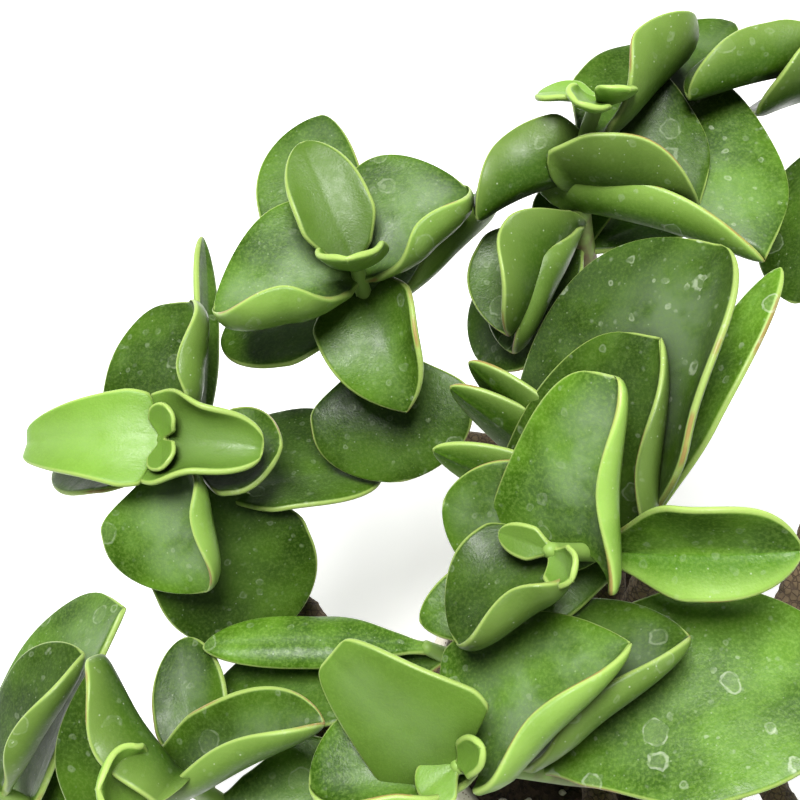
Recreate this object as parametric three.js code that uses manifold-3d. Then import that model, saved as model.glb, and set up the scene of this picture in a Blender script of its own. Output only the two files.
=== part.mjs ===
// A potted cotyledon in a plain clay pot: pot, soil, woody stem and leafy shoots.
// Millimetres, +Z up. The origin is the centre of the pot's underside, and the photo's camera looks
// down along +Y, so +X is to the right and +Y is away from it.
import * as THREE from "three";
import { mergeVertices } from "three/addons/utils/BufferGeometryUtils.js";
import Module from "manifold-3d";

const wasm = await Module();
wasm.setup();

// Driving sizes.
const POT_HEIGHT = 115;
const RIM_RADIUS = 65;
const WALL = 5;
const SOIL_BELOW_RIM = 9;
const LEAF_THICKNESS = 3;
const GREEN_STEM = 4.6;
const WOODY_STEM = 11;
const GAP = 0.3;

// What follows from them.
const BASE_RADIUS = RIM_RADIUS * 0.71;
const BAND_HEIGHT = POT_HEIGHT * 0.15;
const BAND_STEP = 2.6;
const FLOOR = WALL + 1;
const SOIL_TOP = POT_HEIGHT - SOIL_BELOW_RIM;
const SOIL_BUMP = 1.6;
const HOLE_COUNT = 4;
const HOLE_RADIUS = 4.5;
const HOLE_RING = BASE_RADIUS * 0.52;

// How far each half of a leaf folds up from the midrib, in degrees, near its base, at its middle and
// near its tip, and how late across the half it folds: 1 is evenly, more is near the margin.
const FOLDS = {
  flat: [4, 6, 4, 1.2],
  cupped: [22, 30, 18, 1.2],
  raised: [45, 70, 40, 1.2],
  hinged: [55, 75, 55, 0.3],
  steep: [60, 95, 60, 1.2],
  trough: [25, 88, 60, 1.2],
  over: [95, 165, 125, 1.5],
  rolled: [100, 150, 120, 0.8],
  taco: [115, 140, 115, 0.3],
  drooped: [-10, -45, -30, 1.2],
};

// Outlines of half a leaf: where it is widest, how wide its neck is, how blunt its tip is, how far the
// lobe at its base reaches back past its root as a share of its length, how far its margin is swept
// ahead as a share of its width, and how much it narrows evenly to its tip. A row's outline may name
// its left and its right half's, with a slash.
const SHAPES = {
  round: [0.55, 0.28, 0.62, 0, 0, 0],
  oval: [0.42, 0.5, 0.62, 0, 0, 0],
  eared: [0.3, 0.5, 0.9, 0.2, 0, 0],
  lobed: [0.4, 0.6, 0.62, 0.5, 0, 0],
  clasp: [0.35, 0.5, 0.9, 0.5, 0, 0],
  full: [0.5, 0.28, 0.42, 0, 0, 0],
  boat: [0.3, 0.8, 0.3, 0.45, 0, 0.35],
  flag: [0.3, 0.3, 0.22, 0, 0.05, 0.38],
  broad: [0.15, 1, 0.25, 0.3, 0, 0.35],
  square: [0.3, 0.8, 0.25, 0.1, 0, 0.2],
  wedge: [0.25, 0.9, 0.15, 0, 0, 0.5],
};

// The shoots that the photo shows. Each has its top and the direction it leans, and the foot where it
// leaves the woody branch and the direction it rises there. A leaf's row is: how far down the stem it
// sits, its turn round +Z from +X, its lift over the horizontal, its length, the width of its left and
// right half, its roll, how each half folds, how much it arches, and its outline.
const SHOOTS = {
  a: {
    top: [-89, 122, 242], lean: [-0.1, 0.2, 1], foot: [-70, 95, 168], rise: [-0.3, 0.4, 0.9],
    leaves: [
      [2, 114, 11, 45, 13, 13, 0, "cupped", "cupped", -30, "oval"],
      [2, -100, 68, 26, 13, 13, 0, "raised", "raised", 20, "oval"],
      [9, -170, -3, 48, 33, 33, -10, "over", "flat", -20, "round/eared"],
      [9, 42, 10, 46, 30, 27, 10, "flat", "over", -20, "round"],
      [17, 103, 2, 70, 28, 9, 0, "flat", "flat", -20, "round"],
      [17, -70, -10, 42, 17, 20, 0, "steep", "flat", -40, "eared"],
      [28, 178, -20, 57, 20, 18, 0, "flat", "flat", -20, "round"],
      [27, 50, -7, 65, 27, 27, 0, "flat", "over", -20, "round"],
      [34, 113, -6, 80, 18, 18, 0, "flat", "flat", -20, "round"],
      [42, -81, -12, 48, 28, 28, 0, "flat", "flat", -30, "round"],
    ],
  },
  b: {
    top: [-151, 71, 218], lean: [-0.4, -0.1, 0.9], foot: [-125, 40, 150], rise: [-0.7, 0.2, 0.6],
    leaves: [
      [2, 176, -16, 54, 17, 16, 0, "cupped", "cupped", -60, "wedge"],
      [2, -8, 8, 33, 17, 17, 0, "trough", "trough", -25, "boat"],
      [0, 80, 45, 13, 6, 6, 0, "cupped", "cupped", 20, "round"],
      [0, -80, 30, 14, 6, 6, 0, "cupped", "cupped", 20, "round"],
      [9, 88, 8, 50, 29, 24, 0, "flat", "over", -20, "square/round"],
      [9, -78, -15, 48, 20, 30, 0, "over", "flat", -20, "round"],
      [17, 175, -26, 58, 16, 16, 0, "cupped", "cupped", -20, "round"],
      [17, 4, 15, 34, 18, 18, 0, "cupped", "cupped", 30, "round"],
      [26, 92, 1, 91, 9, 5, 60, "raised", "cupped", -20, "round"],
      [26, -66, -28, 63, 28, 28, 0, "flat", "flat", -20, "round"],
      [36, 9, -3, 62, 36, 16, 0, "flat", "flat", -20, "full"],
      [54, -72, -4, 35, 16, 16, 0, "flat", "flat", -20, "round"],
    ],
  },
  c: {
    top: [-15, 161, 272], lean: [0.3, 0.45, 0.8], foot: [-8, 131, 201], rise: [-0.2, 0, 1],
    leaves: [
      [0, 163, -17, 20, 9, 9, 0, "cupped", "cupped", -20, "round"],
      [0, -22, 54, 14, 8, 8, 0, "raised", "raised", 60, "round"],
      [0, -134, 44, 18, 8, 8, 0, "raised", "raised", 40, "round"],
      [26, -156, -1, 37, 22, 33, 18, "taco", "flat", -30, "eared"],
      [28, -18, 7, 38, 44, 26, 30, "flat", "taco", -20, "flag/clasp"],
      [18, 52, -7, 58, 20, 33, 0, "flat", "rolled", -20, "round"],
      [41, -121, -1, 49, 26, 24, 0, "taco", "cupped", -20, "round"],
      [37, -28, 15, 61, 60, 16, 18, "flat", "taco", -20, "flag/clasp"],
      [52, -135, -26, 53, 22, 22, 0, "flat", "flat", -20, "round"],
      [42, -118, -12, 50, 20, 20, 20, "over", "cupped", -20, "round"],
      [40, 53, 1, 94, 24, 14, 6, "flat", "flat", -20, "round"],
      [56, 100, 0, 30, 14, 14, 0, "flat", "flat", -20, "round"],
      [56, 22, 2, 44, 12, 12, 0, "flat", "flat", -20, "round"],
    ],
  },
  d: {
    top: [-35, 26, 260], lean: [-0.6, -0.1, 0.8], foot: [12, 38, 186], rise: [0, 0, 1],
    leaves: [
      [1, 154, -22, 16, 5, 5, 0, "cupped", "cupped", -20, "oval"],
      [1, -70, 41, 15, 7, 7, 0, "raised", "raised", 60, "round"],
      [20, 83, 35, 52, 32, 20, 8, "flat", "over", -10, "broad"],
      [12, -143, -12, 41, 24, 22, 10, "over", "cupped", -20, "oval"],
      [26, -5, 24, 56, 20, 14, 0, "hinged", "flat", -10, "round"],
      [34, 162, -3, 52, 19, 19, 0, "flat", "flat", -20, "round"],
      [40, 81, 30, 65, 48, 20, 5, "flat", "over", -20, "broad/eared"],
      [42, 74, 28, 95, 48, 22, -4, "flat", "raised", -30, "full"],
      [46, 61, 21, 96, 8, 10, -10, "flat", "cupped", -20, "round"],
      [47, 130, 7, 77, 12, 12, 150, "cupped", "cupped", -20, "oval"],
      [55, 140, 9, 79, 12, 12, 150, "cupped", "cupped", -20, "oval"],
      [46, 152, 2, 68, 12, 12, 150, "cupped", "cupped", -20, "oval"],
      [50, -163, -5, 70, 14, 14, 0, "flat", "flat", -20, "round"],
    ],
  },
  e: {
    top: [-60, -29, 240], lean: [-0.6, -0.1, 0.8], foot: [-8, -28, 185], rise: [-0.3, -0.2, 0.9],
    leaves: [
      [3, 141, 8, 47, 20, 21, 0, "flat", "flat", -20, "wedge"],
      [1, 35, 70, 20, 6, 6, 0, "raised", "raised", 20, "round"],
      [1, -143, -3, 13, 7, 7, 0, "flat", "flat", 0, "round"],
      [10, 37, 21, 55, 34, 22, -5, "flat", "over", -20, "eared"],
      [24, 35, 14, 63, 36, 20, -5, "flat", "over", -20, "oval"],
      [34, 17, 12, 96, 37, 26, 0, "flat", "flat", -20, "round"],
      [12, -175, -4, 49, 20, 20, 0, "over", "flat", -20, "round"],
    ],
  },
  f: {
    top: [-142, -33, 217], lean: [-0.3, -0.1, 0.9], foot: [-115, -45, 150], rise: [-0.7, -0.1, 0.8],
    leaves: [
      [1, -173, 50, 27, 14, 14, 0, "raised", "raised", 90, "round"],
      [8, 125, 10, 45, 34, 22, -10, "flat", "taco", -20, "eared/square"],
      [16, 23, 25, 49, 20, 16, -15, "raised", "rolled", -20, "lobed"],
      [28, 103, -5, 51, 13, 13, 0, "cupped", "cupped", -20, "round"],
      [34, -12, 2, 52, 26, 18, 0, "flat", "flat", -20, "round"],
    ],
  },
  g: {
    top: [-205, -35, 195], lean: [-0.5, -0.1, 0.9], foot: [-165, -60, 140], rise: [-0.8, 0, 0.5],
    leaves: [
      [10, 56, 23, 54, 22, 18, 0, "flat", "over", -20, "round"],
      [24, 65, 13, 71, 42, 7, 0, "flat", "cupped", -20, "square/eared"],
      [36, 115, 6, 26, 14, 14, 0, "flat", "flat", -20, "round"],
    ],
  },
  h: {
    top: [68, 184, 270], lean: [-0.3, 0.4, 0.9], foot: [98, 156, 201], rise: [0.1, 0.2, 1],
    leaves: [
      [8, -167, 0, 58, 17, 24, 12, "taco", "cupped", -20, "round"],
      [16, -166, -5, 37, 24, 24, 35, "steep", "cupped", -20, "round"],
      [26, -114, -18, 69, 22, 22, 0, "flat", "flat", -20, "round"],
    ],
  },
  k: {
    top: [-67, 9, 193], lean: [-0.6, 0.2, 0.7], foot: [-34, 4, 166], rise: [-0.6, 0, 0.7],
    leaves: [
      [2, -180, 2, 73, 8, 12, 0, "drooped", "drooped", -20, "round"],
      [12, -173, -6, 79, 20, 14, 0, "flat", "flat", -20, "round"],
    ],
  },
};

// A shoot out of the photo's sight: pairs of leaves down its stem, each pair a quarter turn from the
// one above it. A pair has how far down it sits, its lift, its length and the width of a half.
const PAIRS = [
  [1, 50, 20, 7],
  [8, 32, 38, 15],
  [18, 18, 48, 20],
  [30, 4, 56, 22],
];
const GROWN_FOLDS = [
  ["flat", "flat"],
  ["flat", "raised"],
  ["steep", "cupped"],
  ["cupped", "cupped"],
  ["cupped", "flat"],
];
const GROWN = {
  m: {
    seed: 3,
    top: [108, 92, 258], lean: [0.3, 0.2, 1], foot: [84, 78, 190], rise: [0.4, 0.1, 1],
  },
  n: {
    seed: 8,
    top: [128, 18, 240], lean: [0.5, 0.1, 0.8], foot: [86, 12, 178], rise: [0.6, 0.1, 0.8],
  },
  o: {
    seed: 5,
    top: [78, -68, 236], lean: [0.3, -0.4, 0.9], foot: [54, -44, 172], rise: [0.4, -0.4, 0.8],
  },
  p: {
    seed: 11,
    top: [2, -112, 226], lean: [0, -0.5, 0.9], foot: [-4, -76, 166], rise: [0, -0.6, 0.8],
  },
  q: {
    seed: 14,
    top: [-84, -104, 205], lean: [-0.5, -0.5, 0.7], foot: [-58, -74, 150], rise: [-0.4, -0.5, 0.8],
  },
};

// Woody branches from the trunk out to the feet of the shoots.
const TRUNK = {
  from: [0, 0, 62], go: [0, 0, 1], to: [-3, 3, 128], end: [-0.1, 0.1, 1],
  thick: WOODY_STEM, thin: WOODY_STEM * 0.82,
};
const LIMBS = {
  left: {
    from: [-2, 2, 120], go: [-0.9, 0.1, 0.4], to: [-95, 5, 140], end: [-0.9, 0.1, 0.3],
    thick: 7.6, thin: 6.4,
  },
  back: {
    from: [-2, 3, 122], go: [0.1, 0.7, 0.6], to: [4, 84, 164], end: [0, 0.8, 0.5],
    thick: 7.8, thin: 6.6,
  },
  right: {
    from: [-1, 1, 120], go: [0.9, 0.1, 0.4], to: [44, 6, 150], end: [0.8, 0, 0.6],
    thick: 7.6, thin: 6.4,
  },
  front: {
    from: [-1, 1, 119], go: [0, -0.9, 0.4], to: [-4, -44, 140], end: [0, -0.8, 0.6],
    thick: 7.4, thin: 6.2,
  },
};
// Which branch carries each shoot, and which way it sets out from there.
const CARRIED = {
  a: ["back", [-0.9, 0.3, 0.1]],
  b: ["left", [-0.6, 0.7, 0.1]],
  f: ["left", [-0.3, -0.9, 0.1]],
  g: ["left", [-0.7, -0.6, 0]],
  c: ["back", [0.1, 0.9, 0.5]],
  h: ["right", [1, 0, 0.1]],
  m: ["right", [1, 0.1, 0.2]],
  d: ["trunk", [0.2, 0.3, 1]],
  e: ["trunk", [0, -0.4, 0.9]],
  k: ["trunk", [-0.6, -0.2, 0.7]],
  n: ["right", [0.8, 0.1, 0.6]],
  o: ["right", [0.5, -0.8, 0.3]],
  p: ["front", [0, -0.9, 0.5]],
  q: ["front", [-0.8, -0.5, 0.3]],
};

const radians = THREE.MathUtils.degToRad;
const vector = (list) => new THREE.Vector3(...list);
const smooth = (x) => THREE.MathUtils.smoothstep(x, 0, 1);

// A seeded draw between 0 and 1, the same in any language.
function draws(seed) {
  let state = seed * 7919 + 17;
  return () => {
    state = (state * 48271) % 2147483647;
    return state / 2147483647;
  };
}

function grownLeaves(seed) {
  const draw = draws(seed);
  for (let warm = 0; warm < 5; warm += 1) draw();
  const start = draw() * 360;
  const leaves = [];
  PAIRS.forEach(([down, lift, length, half], pair) => {
    for (const side of [0, 180]) {
      const turn = start + pair * 90 + side + (draw() - 0.5) * 24;
      const size = 0.88 + 0.2 * draw();
      const tilt = lift + (draw() - 0.5) * 14;
      const roll = (draw() - 0.5) * 40;
      const folds = GROWN_FOLDS[Math.floor(draw() * GROWN_FOLDS.length)];
      const shape = draw() < 0.7 ? "round" : "oval";
      leaves.push([down, turn, tilt, length * size, half * size, half * size, roll, ...folds, -20, shape]);
    }
  });
  return leaves;
}

// Half-width of a leaf at u along it, as a share of its widest.
function outline(u, [widest, neck, blunt, , , taper]) {
  const grow = neck + (1 - neck) * smooth((u - 0.03) / (widest * 0.78));
  const x = THREE.MathUtils.clamp((u - widest) / (1 - widest), 0, 1);
  return grow * (1 - taper * x) * (1 - x ** 2.2) ** blunt;
}

function foldAt([nearBase, middle, nearTip], u) {
  const first = nearBase + (middle - nearBase) * smooth((u - 0.12) / 0.38);
  return first + (nearTip - middle) * smooth((u - 0.5) / 0.42);
}

// One half of a leaf's cross-section: how far out and up each of its steps lies, and its slope there.
function halfSection(width, fold, lateness, steps) {
  const FINE = 24;
  const points = [];
  let out = 0;
  let up = 0;
  for (let i = 0; i <= FINE; i += 1) {
    const slope = radians(fold) * (i / FINE) ** lateness;
    if (i > 0) {
      const before = radians(fold) * ((i - 1) / FINE) ** lateness;
      out += ((Math.cos(slope) + Math.cos(before)) / 2) * (width / FINE);
      up += ((Math.sin(slope) + Math.sin(before)) / 2) * (width / FINE);
    }
    if (steps.includes(i / FINE) && i > 0) points.push({ t: i / FINE, out, up, slope });
  }
  return points;
}

// The line of a leaf's midrib, an arc in the leaf's own plane: how far along and up it is at u.
function midrib(length, curl, u) {
  const FINE = 20;
  let along = 0;
  let up = 0;
  for (let i = 0; i < FINE; i += 1) {
    const bend = radians(curl) * (((i + 0.5) / FINE) * u - 0.5);
    along += (Math.cos(bend) * length * u) / FINE;
    up += (Math.sin(bend) * length * u) / FINE;
  }
  return { along, up, bend: radians(curl) * (u - 0.5) };
}

// A leaf's thickness at u, as a share of its thickness at the middle: more at its base, less at its tip.
function thickAt(u) {
  const tip = Math.max(0, (u - 0.9) / 0.1);
  return (1 + 0.5 * Math.exp(-u / 0.08)) * Math.sqrt(1 - 0.9 * tip ** 2);
}

const STATIONS = [0, 0.14, 0.4, 0.7, 0.92];
const ROOT_LENGTH = 0.13;
const ROOT_WIDTH = 2.2;
const STEPS_FOLDED = [0.5, 1];
const STEPS_FLAT = [1];
const FOLDED_OVER = 80;

// A leaf as a closed solid: rings round the blade from its base on the stem to the last one, and a
// point for its tip. Both faces are split alike.
function leafSolid(row, base, axis) {
  const [, turn, lift, length, left, right, roll, leftFold, rightFold, curl, shape] = row;
  const flat = radians(lift);
  const X = vector([
    Math.cos(radians(turn)) * Math.cos(flat),
    Math.sin(radians(turn)) * Math.cos(flat),
    Math.sin(flat),
  ]);
  const lifted = axis.clone().addScaledVector(X, -axis.dot(X)).normalize();
  const side = lifted.clone().cross(X);
  const Y = side.clone().applyAxisAngle(X, radians(roll));
  const Z = lifted.clone().applyAxisAngle(X, radians(roll));
  const folds = [FOLDS[leftFold], FOLDS[rightFold]];
  const [leftShape, rightShape = leftShape] = shape.split("/").map((name) => SHAPES[name]);
  const steps = folds.some((fold) => Math.abs(fold[1]) > FOLDED_OVER) ? STEPS_FOLDED : STEPS_FLAT;
  const thin = Math.min(1, 0.45 + length / 60);
  const points = [];
  for (const u of STATIONS) {
    const { along, up, bend } = midrib(length, curl, u);
    const half = (LEAF_THICKNESS / 2) * thin * thickAt(u);
    const opened = smooth(u / ROOT_LENGTH);
    const widthOf = (edge, widest) => ROOT_WIDTH + (widest * outline(u, edge) - ROOT_WIDTH) * opened;
    const backOf = ([, , , lobe, sweep], widest) =>
      lobe * length * (1 - u) ** 3 * opened - sweep * widest * 4 * u * (1 - u);
    const sections = [
      halfSection(widthOf(leftShape, left), foldAt(folds[0], u) * opened, folds[0][3], steps),
      halfSection(widthOf(rightShape, right), foldAt(folds[1], u) * opened, folds[1][3], steps),
    ];
    const backs = [backOf(leftShape, left), backOf(rightShape, right)];
    const ring = [];
    const place = (sign, { t, out, up: rise, slope }, face) => {
      const off = face * half * (1 - 0.25 * t * t);
      const behind = backs[sign > 0 ? 0 : 1] * t;
      ring.push([sign * (out - Math.sin(slope) * off), rise + Math.cos(slope) * off, behind]);
    };
    [...sections[0]].reverse().forEach((point) => place(1, point, 1));
    ring.push([0, half, 0]);
    sections[1].forEach((point) => place(-1, point, 1));
    [...sections[1]].reverse().forEach((point) => place(-1, point, -1));
    ring.push([0, -half * 1.2, 0]);
    sections[0].forEach((point) => place(1, point, -1));
    for (const [out, rise, behind] of ring) {
      points.push(
        base.clone()
          .addScaledVector(X, along - behind - Math.sin(bend) * rise)
          .addScaledVector(Y, out)
          .addScaledVector(Z, up + Math.cos(bend) * rise),
      );
    }
  }
  const around = points.length / STATIONS.length;
  const tip = midrib(length, curl, 1);
  points.push(base.clone().addScaledVector(X, tip.along).addScaledVector(Z, tip.up));
  const faces = [];
  for (let i = 0; i < STATIONS.length - 1; i += 1) {
    for (let j = 0; j < around; j += 1) {
      const a = i * around + j;
      const b = i * around + ((j + 1) % around);
      const c = a + around;
      const d = b + around;
      if (j < around / 2) faces.push([a, d, c], [a, b, d]);
      else faces.push([a, b, c], [b, d, c]);
    }
  }
  const last = (STATIONS.length - 1) * around;
  for (let j = 0; j < around; j += 1) {
    faces.push([last + j, last + ((j + 1) % around), points.length - 1]);
  }
  for (let j = 1; j < around - 1; j += 1) faces.push([0, j + 1, j]);
  return solid(points.map((point) => point.toArray()), faces);
}

// A closed manifold-3d solid from points and triangles.
function solid(points, faces) {
  return new wasm.Manifold(
    new wasm.Mesh({
      numProp: 3,
      vertProperties: Float32Array.from(points.flat()),
      triVerts: Uint32Array.from(faces.flat()),
    }),
  );
}

// A manifold-3d solid from a closed three.js geometry.
function solidOf(geometry) {
  const plain = geometry.clone();
  plain.deleteAttribute("normal");
  plain.deleteAttribute("uv");
  const merged = mergeVertices(plain, 1e-3);
  return new wasm.Manifold(
    new wasm.Mesh({
      numProp: 3,
      vertProperties: merged.attributes.position.array,
      triVerts: Uint32Array.from(merged.index.array),
    }),
  );
}

// Keeps a solid's outside and fills any speck of a hollow that joining has sealed in it.
function filled(made) {
  return made.decompose().reduce((whole, body) => (body.volume() > whole.volume() ? body : whole));
}

function geometryOf(made) {
  const mesh = made.getMesh();
  const geometry = new THREE.BufferGeometry();
  geometry.setAttribute("position", new THREE.BufferAttribute(Float32Array.from(mesh.vertProperties), 3));
  geometry.setIndex(Array.from(mesh.triVerts));
  geometry.computeVertexNormals();
  return geometry;
}

// A curve that leaves one point and reaches another in given directions.
function reach(from, go, to, end) {
  const start = vector(from);
  const finish = vector(to);
  const pull = start.distanceTo(finish) / 3;
  return new THREE.CubicBezierCurve3(
    start,
    start.clone().addScaledVector(vector(go).normalize(), pull),
    finish.clone().addScaledVector(vector(end).normalize(), -pull),
    finish,
  );
}

// A tapered stem along a curve, closed at both ends, square to the curve there.
function stemSolid(curve, thick, thin, sides, rings) {
  const points = [];
  for (let i = 0; i <= rings; i += 1) {
    const at = i / rings;
    const direction = curve.getTangent(at);
    const reference = Math.abs(direction.y) < 0.9 ? vector([0, 1, 0]) : vector([1, 0, 0]);
    const across = reference.clone().cross(direction).normalize();
    const other = direction.clone().cross(across);
    const radius = thick + (thin - thick) * at;
    for (let j = 0; j < sides; j += 1) {
      const angle = (j / sides) * Math.PI * 2;
      points.push(
        curve.getPoint(at)
          .addScaledVector(across, Math.cos(angle) * radius)
          .addScaledVector(other, Math.sin(angle) * radius)
          .toArray(),
      );
    }
  }
  const faces = [];
  for (let i = 0; i < rings; i += 1) {
    for (let j = 0; j < sides; j += 1) {
      const a = i * sides + j;
      const b = i * sides + ((j + 1) % sides);
      faces.push([a, b, b + sides], [a, b + sides, a + sides]);
    }
  }
  const last = rings * sides;
  for (let j = 1; j < sides - 1; j += 1) faces.push([0, j + 1, j], [last, last + j, last + j + 1]);
  return solid(points, faces);
}

const SHOOT_TOP = 2.2;
const SHOOT_SIDES = 5;
const SHOOT_RINGS = 4;
const TRUNK_SIDES = 8;
const LIMB_SIDES = 7;
const BRANCH_SIDES = 6;
const STEM_RINGS = 3;

// A leafy shoot: its green stem, with every leaf's root sunk into it, as one body.
function shootSolid({ top, lean, foot, rise, leaves }) {
  const curve = reach(foot, rise, top, lean);
  const length = curve.getLength();
  let made = stemSolid(curve, GREEN_STEM, SHOOT_TOP, SHOOT_SIDES, SHOOT_RINGS);
  for (const row of leaves) {
    const at = 1 - row[0] / length;
    made = made.add(leafSolid(row, curve.getPointAt(at), curve.getTangentAt(at)));
  }
  return filled(made);
}

// The woody stem: the trunk, its limbs, and a branch to each shoot that stops just short of it.
function woodySolid(shoots) {
  const trunk = reach(TRUNK.from, TRUNK.go, TRUNK.to, TRUNK.end);
  let made = stemSolid(trunk, TRUNK.thick, TRUNK.thin, TRUNK_SIDES, STEM_RINGS);
  for (const limb of Object.values(LIMBS)) {
    const line = reach(limb.from, limb.go, limb.to, limb.end);
    made = made.add(stemSolid(line, limb.thick, limb.thin, LIMB_SIDES, STEM_RINGS));
  }
  for (const [name, { foot, rise }] of Object.entries(shoots)) {
    const [carrier, go] = CARRIED[name];
    const from = carrier === "trunk" ? TRUNK.to : LIMBS[carrier].to;
    const inside = carrier === "trunk" ? TRUNK.end : LIMBS[carrier].end;
    const start = vector(from).addScaledVector(vector(inside).normalize(), -WOODY_STEM * 0.4);
    const end = vector(foot).addScaledVector(vector(rise).normalize(), -GAP);
    const branch = reach(start.toArray(), go, end.toArray(), rise);
    made = made.add(stemSolid(branch, GREEN_STEM + 1.2, GREEN_STEM + 0.5, BRANCH_SIDES, STEM_RINGS));
  }
  return made;
}

const AROUND = 32;

// A turned shape from a profile of radii and heights.
function turned(points) {
  const profile = points.map(([r, z]) => new THREE.Vector2(r, z));
  return new THREE.LatheGeometry(profile, AROUND).rotateX(Math.PI / 2);
}

// The radius of the pot's inside at a height.
function insideRadius(z) {
  const lower = BASE_RADIUS - WALL;
  const upper = RIM_RADIUS - WALL;
  return lower + ((upper - lower) * (z - FLOOR)) / (POT_HEIGHT - FLOOR);
}

function potSolid() {
  const bandFoot = POT_HEIGHT - BAND_HEIGHT;
  const shoulder = RIM_RADIUS - BAND_STEP;
  const walls = turned([
    [0, 0],
    [BASE_RADIUS - 1.5, 0],
    [BASE_RADIUS, 1.5],
    [shoulder - 1, bandFoot - 1],
    [RIM_RADIUS, bandFoot + 1],
    [RIM_RADIUS, POT_HEIGHT - 1.5],
    [RIM_RADIUS - 1.5, POT_HEIGHT],
    [RIM_RADIUS - WALL + 1, POT_HEIGHT],
    [insideRadius(POT_HEIGHT - 1), POT_HEIGHT - 1],
    [insideRadius(FLOOR), FLOOR],
    [0, FLOOR],
  ]);
  let made = solidOf(walls);
  for (let i = 0; i < HOLE_COUNT; i += 1) {
    const angle = ((i + 0.5) / HOLE_COUNT) * Math.PI * 2;
    const drill = new THREE.CylinderGeometry(HOLE_RADIUS, HOLE_RADIUS, FLOOR * 3, 16).rotateX(Math.PI / 2);
    drill.translate(Math.cos(angle) * HOLE_RING, Math.sin(angle) * HOLE_RING, FLOOR / 2);
    made = made.subtract(solidOf(drill));
  }
  return made;
}

// The soil fills the pot to just under its rim, with an uneven top and a plain hole for the trunk.
function soilSolid() {
  const geometry = turned([
    [0, FLOOR + GAP],
    [insideRadius(FLOOR) - GAP, FLOOR + GAP],
    [insideRadius(SOIL_TOP) - GAP, SOIL_TOP],
    [RIM_RADIUS * 0.72, SOIL_TOP + 0.5],
    [RIM_RADIUS * 0.5, SOIL_TOP + 1],
    [RIM_RADIUS * 0.28, SOIL_TOP + 1.5],
    [0, SOIL_TOP + 2],
  ]);
  const position = geometry.attributes.position;
  for (let i = 0; i < position.count; i += 1) {
    const [x, y, z] = [position.getX(i), position.getY(i), position.getZ(i)];
    const inner = Math.hypot(x, y) < RIM_RADIUS * 0.75;
    if (z > SOIL_TOP && inner) position.setZ(i, z + SOIL_BUMP * Math.sin(x / 7) * Math.cos(y / 9));
  }
  const trunk = reach(TRUNK.from, TRUNK.go, TRUNK.to, TRUNK.end);
  const hole = stemSolid(trunk, TRUNK.thick + GAP, TRUNK.thin + GAP, TRUNK_SIDES, STEM_RINGS);
  const [x, y, bottom] = TRUNK.from;
  const below = reach([x, y, bottom - GAP], TRUNK.go, [x, y, bottom + 1], TRUNK.go);
  const foot = stemSolid(below, TRUNK.thick + GAP, TRUNK.thick + GAP, TRUNK_SIDES, 1);
  return solidOf(geometry).subtract(hole.add(foot));
}

const clay = new THREE.MeshStandardMaterial({ color: 0xd9d4c8, roughness: 0.75, metalness: 0 });
const earth = new THREE.MeshStandardMaterial({ color: 0x4a3b2d, roughness: 1, metalness: 0 });
const bark = new THREE.MeshStandardMaterial({ color: 0x7d6a4c, roughness: 0.85, metalness: 0 });
const leaf = new THREE.MeshStandardMaterial({ color: 0x4f7a2a, roughness: 0.4, metalness: 0 });

const part = new THREE.Group();

function addPiece(name, made, material) {
  const mesh = new THREE.Mesh(geometryOf(made), material);
  mesh.name = name;
  part.add(mesh);
}

const shoots = { ...SHOOTS };
for (const [name, { seed, ...stem }] of Object.entries(GROWN)) {
  shoots[name] = { ...stem, leaves: grownLeaves(seed) };
}

addPiece("pot", potSolid(), clay);
addPiece("soil", soilSolid(), earth);
addPiece("woody_stem", woodySolid(shoots), bark);
for (const [name, shoot] of Object.entries(shoots)) addPiece(`shoot_${name}`, shootSolid(shoot), leaf);

export default part;
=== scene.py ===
"""A potted cotyledon in a plain clay pot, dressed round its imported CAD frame.

Sizes in the tables are millimetres, as on the part's drawing, and meshes are made in metres. +Z is up,
the origin is the centre of the pot's underside, and +Y is away from the photograph's camera.
"""

import math

import bmesh
import bpy
import numpy as np
from mathutils import Matrix, Vector, kdtree, noise


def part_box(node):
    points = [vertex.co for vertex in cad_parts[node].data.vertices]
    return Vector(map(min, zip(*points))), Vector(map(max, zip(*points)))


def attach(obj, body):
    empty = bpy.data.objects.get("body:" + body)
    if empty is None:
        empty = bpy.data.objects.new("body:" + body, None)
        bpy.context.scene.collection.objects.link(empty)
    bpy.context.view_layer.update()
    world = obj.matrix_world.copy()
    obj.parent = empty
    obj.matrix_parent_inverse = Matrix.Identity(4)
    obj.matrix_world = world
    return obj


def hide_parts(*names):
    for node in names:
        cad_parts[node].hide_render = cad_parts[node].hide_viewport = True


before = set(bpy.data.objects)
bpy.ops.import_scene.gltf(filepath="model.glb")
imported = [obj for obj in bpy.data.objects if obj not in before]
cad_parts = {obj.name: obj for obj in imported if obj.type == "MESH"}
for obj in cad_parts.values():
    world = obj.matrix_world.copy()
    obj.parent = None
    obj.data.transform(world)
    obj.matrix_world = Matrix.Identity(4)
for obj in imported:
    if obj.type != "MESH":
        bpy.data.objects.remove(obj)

bl_info = {
    "name": "Potted cotyledon",
    "version": (1, 0, 0),
    "blender": (4, 5, 0),
    "location": "3D View > Sidebar > Cotyledon",
    "description": "Makes the leafy shoots, woody stem, soil and clay pot of a potted cotyledon",
    "category": "Add Mesh",
}

MM = 0.001

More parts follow.
